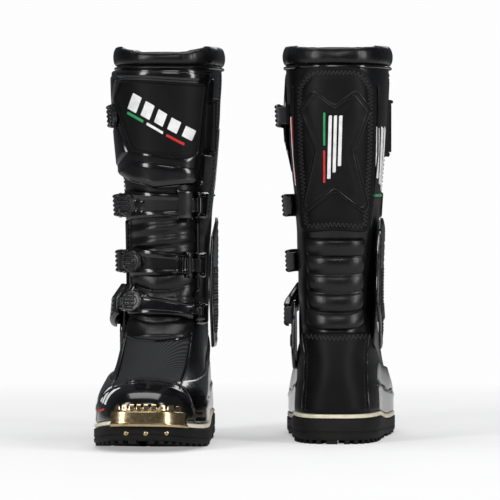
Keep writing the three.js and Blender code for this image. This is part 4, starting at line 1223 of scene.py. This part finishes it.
def puffed(mesh, voxel=4.5, pressure=4.0, most=2.2, frames=20):
    """The same shape as stuffed cloth, which swells under a light inner pressure, but only so far."""
    points, faces = mesh
    data = bpy.data.meshes.new("cloth_start")
    data.from_pydata((np.asarray(points) / 1000).tolist(), [], faces)
    trial = bpy.data.objects.new("cloth_trial", data)
    bpy.context.collection.objects.link(trial)
    fix_normals(data)
    even = trial.modifiers.new("even", "REMESH")
    even.mode = "VOXEL"
    even.voxel_size = voxel / 1000
    bpy.context.view_layer.update()
    remeshed = bpy.data.meshes.new_from_object(trial.evaluated_get(bpy.context.evaluated_depsgraph_get()))
    trial.modifiers.clear()
    trial.data = remeshed
    before = np.array([v.co[:] for v in remeshed.vertices])
    seam = trial.vertex_groups.new(name="seam")
    seam.add([int(i) for i in np.flatnonzero(before[:, 2] < before[:, 2].min() + 0.004)], 1.0, "REPLACE")
    cloth = trial.modifiers.new("cloth", "CLOTH")
    cloth.settings.use_pressure = True
    cloth.settings.uniform_pressure_force = pressure
    cloth.settings.effector_weights.gravity = 0
    cloth.settings.vertex_group_mass = "seam"
    cloth.point_cache.frame_start, cloth.point_cache.frame_end = 1, frames
    for step in range(1, frames + 1):
        bpy.context.scene.frame_set(step)
    settled = trial.evaluated_get(bpy.context.evaluated_depsgraph_get()).to_mesh()
    after = np.array([v.co[:] for v in settled.vertices])
    moved = (after - before) * 1000
    length = np.linalg.norm(moved, axis=1, keepdims=True)
    moved *= np.minimum(1, most / np.maximum(length, 1e-6))
    result = before * 1000 + moved, [list(p.vertices) for p in remeshed.polygons]
    bpy.context.scene.frame_set(1)
    bpy.data.objects.remove(trial)
    return result


add("collar_pad", puffed(collar_ring()), "soft", "shaft", ["collar"], sharp=70,
    subdivide=1)


# ---- Piping and stitching ----
def bead(name, points, view, offset, radius, material="soft", body="foot"):
    add(name, tube(on_skin(fine(points, 2.0), view, offset), radius, 8), material, body)


def sewn(name, points, view, offset=0.4, body="shaft"):
    add(name, stitches(on_skin(fine(points, 1.5), view, offset)), "thread", body)


add("collar_piping", tube(skin(full_turn(150), np.full(150, 391.4), 1.6), 1.5, 8, True), "gloss", "shaft")
cap_angle, cap_level = cap_area(*np.meshgrid(np.linspace(0.02, 0.98, 80), [1.0], indexing="ij"))
add("cap_piping", tube(skin(cap_angle.ravel(), cap_level.ravel() + 0.6, 2.2), 1.3, 8), "soft", "foot")
for side, x in (("lateral", -33.6), ("medial", 33.6)):
    bead(f"vamp_piping_{side}", [[x, 62], [x, 80], [x * 0.99, 100], [x * 0.96, 116]], "front", 2.6, 1.5)
bead("instep_piping", [[-33, 112], [-20, 108], [0, 106.5], [20, 108], [33, 112]], "front", 3.4, 1.6, "gloss")
bead("instep_frame_medial", [[34, 232], [34, 160], [27, 140], [27, 122], [33, 104]], "front", 2.8, 1.7,
     "gloss", "ankle")
bead("instep_frame_lateral", [[-37, 232], [-36, 160], [-35, 130], [-34, 104]], "front", 2.8, 1.6,
     "gloss", "ankle")
inner_x = [[0.86 * x, 305 + 0.93 * (z - 305)] for x, z in CALF_X]
add("calf_x_edge", edge_bead(CALF_X, 4, "back", 4.4, 1.1, 8), "soft", "shaft")
add("calf_x_inner", edge_bead(inner_x, 3, "back", 7.4, 0.55, 6), "soft", "shaft")
add("heel_zigzag", zigzag_seam([[-29, 111], [0, 108], [29, 111]], "back", 3.5), "thread", "foot")
for side, x in (("lateral", -32), ("medial", 32)):
    bead(f"heel_bead_{side}", [[x, 33], [x * 0.93, 70], [x * 0.92, 92], [x * 1.02, 114]], "back", 3.1, 1.2)
    sewn(f"heel_stitch_{side}", [[x * 0.9, 34], [x * 0.84, 70], [x * 0.83, 92], [x * 0.9, 108]], "back", 3.2,
         "foot")
    bead(f"calf_bead_{side}", [[x * 1.1, 224], [x * 1.33, 300], [x * 1.36, 372]], "back", 1.0, 1.1,
         body="shaft")
sewn("panel_stitch_front", [[-37, 250], [-38, 222], [-37, 200]], "front")
sewn("panel_stitch_front_medial", [[37, 258], [38, 222], [37, 200]], "front")
sewn("shaft_stitch_lateral", [[-8, 262], [4, 300], [10, 340], [12, 386]], "lateral")
sewn("shaft_stitch_medial", [[-2, 240], [6, 300], [12, 340], [14, 386]], "medial")
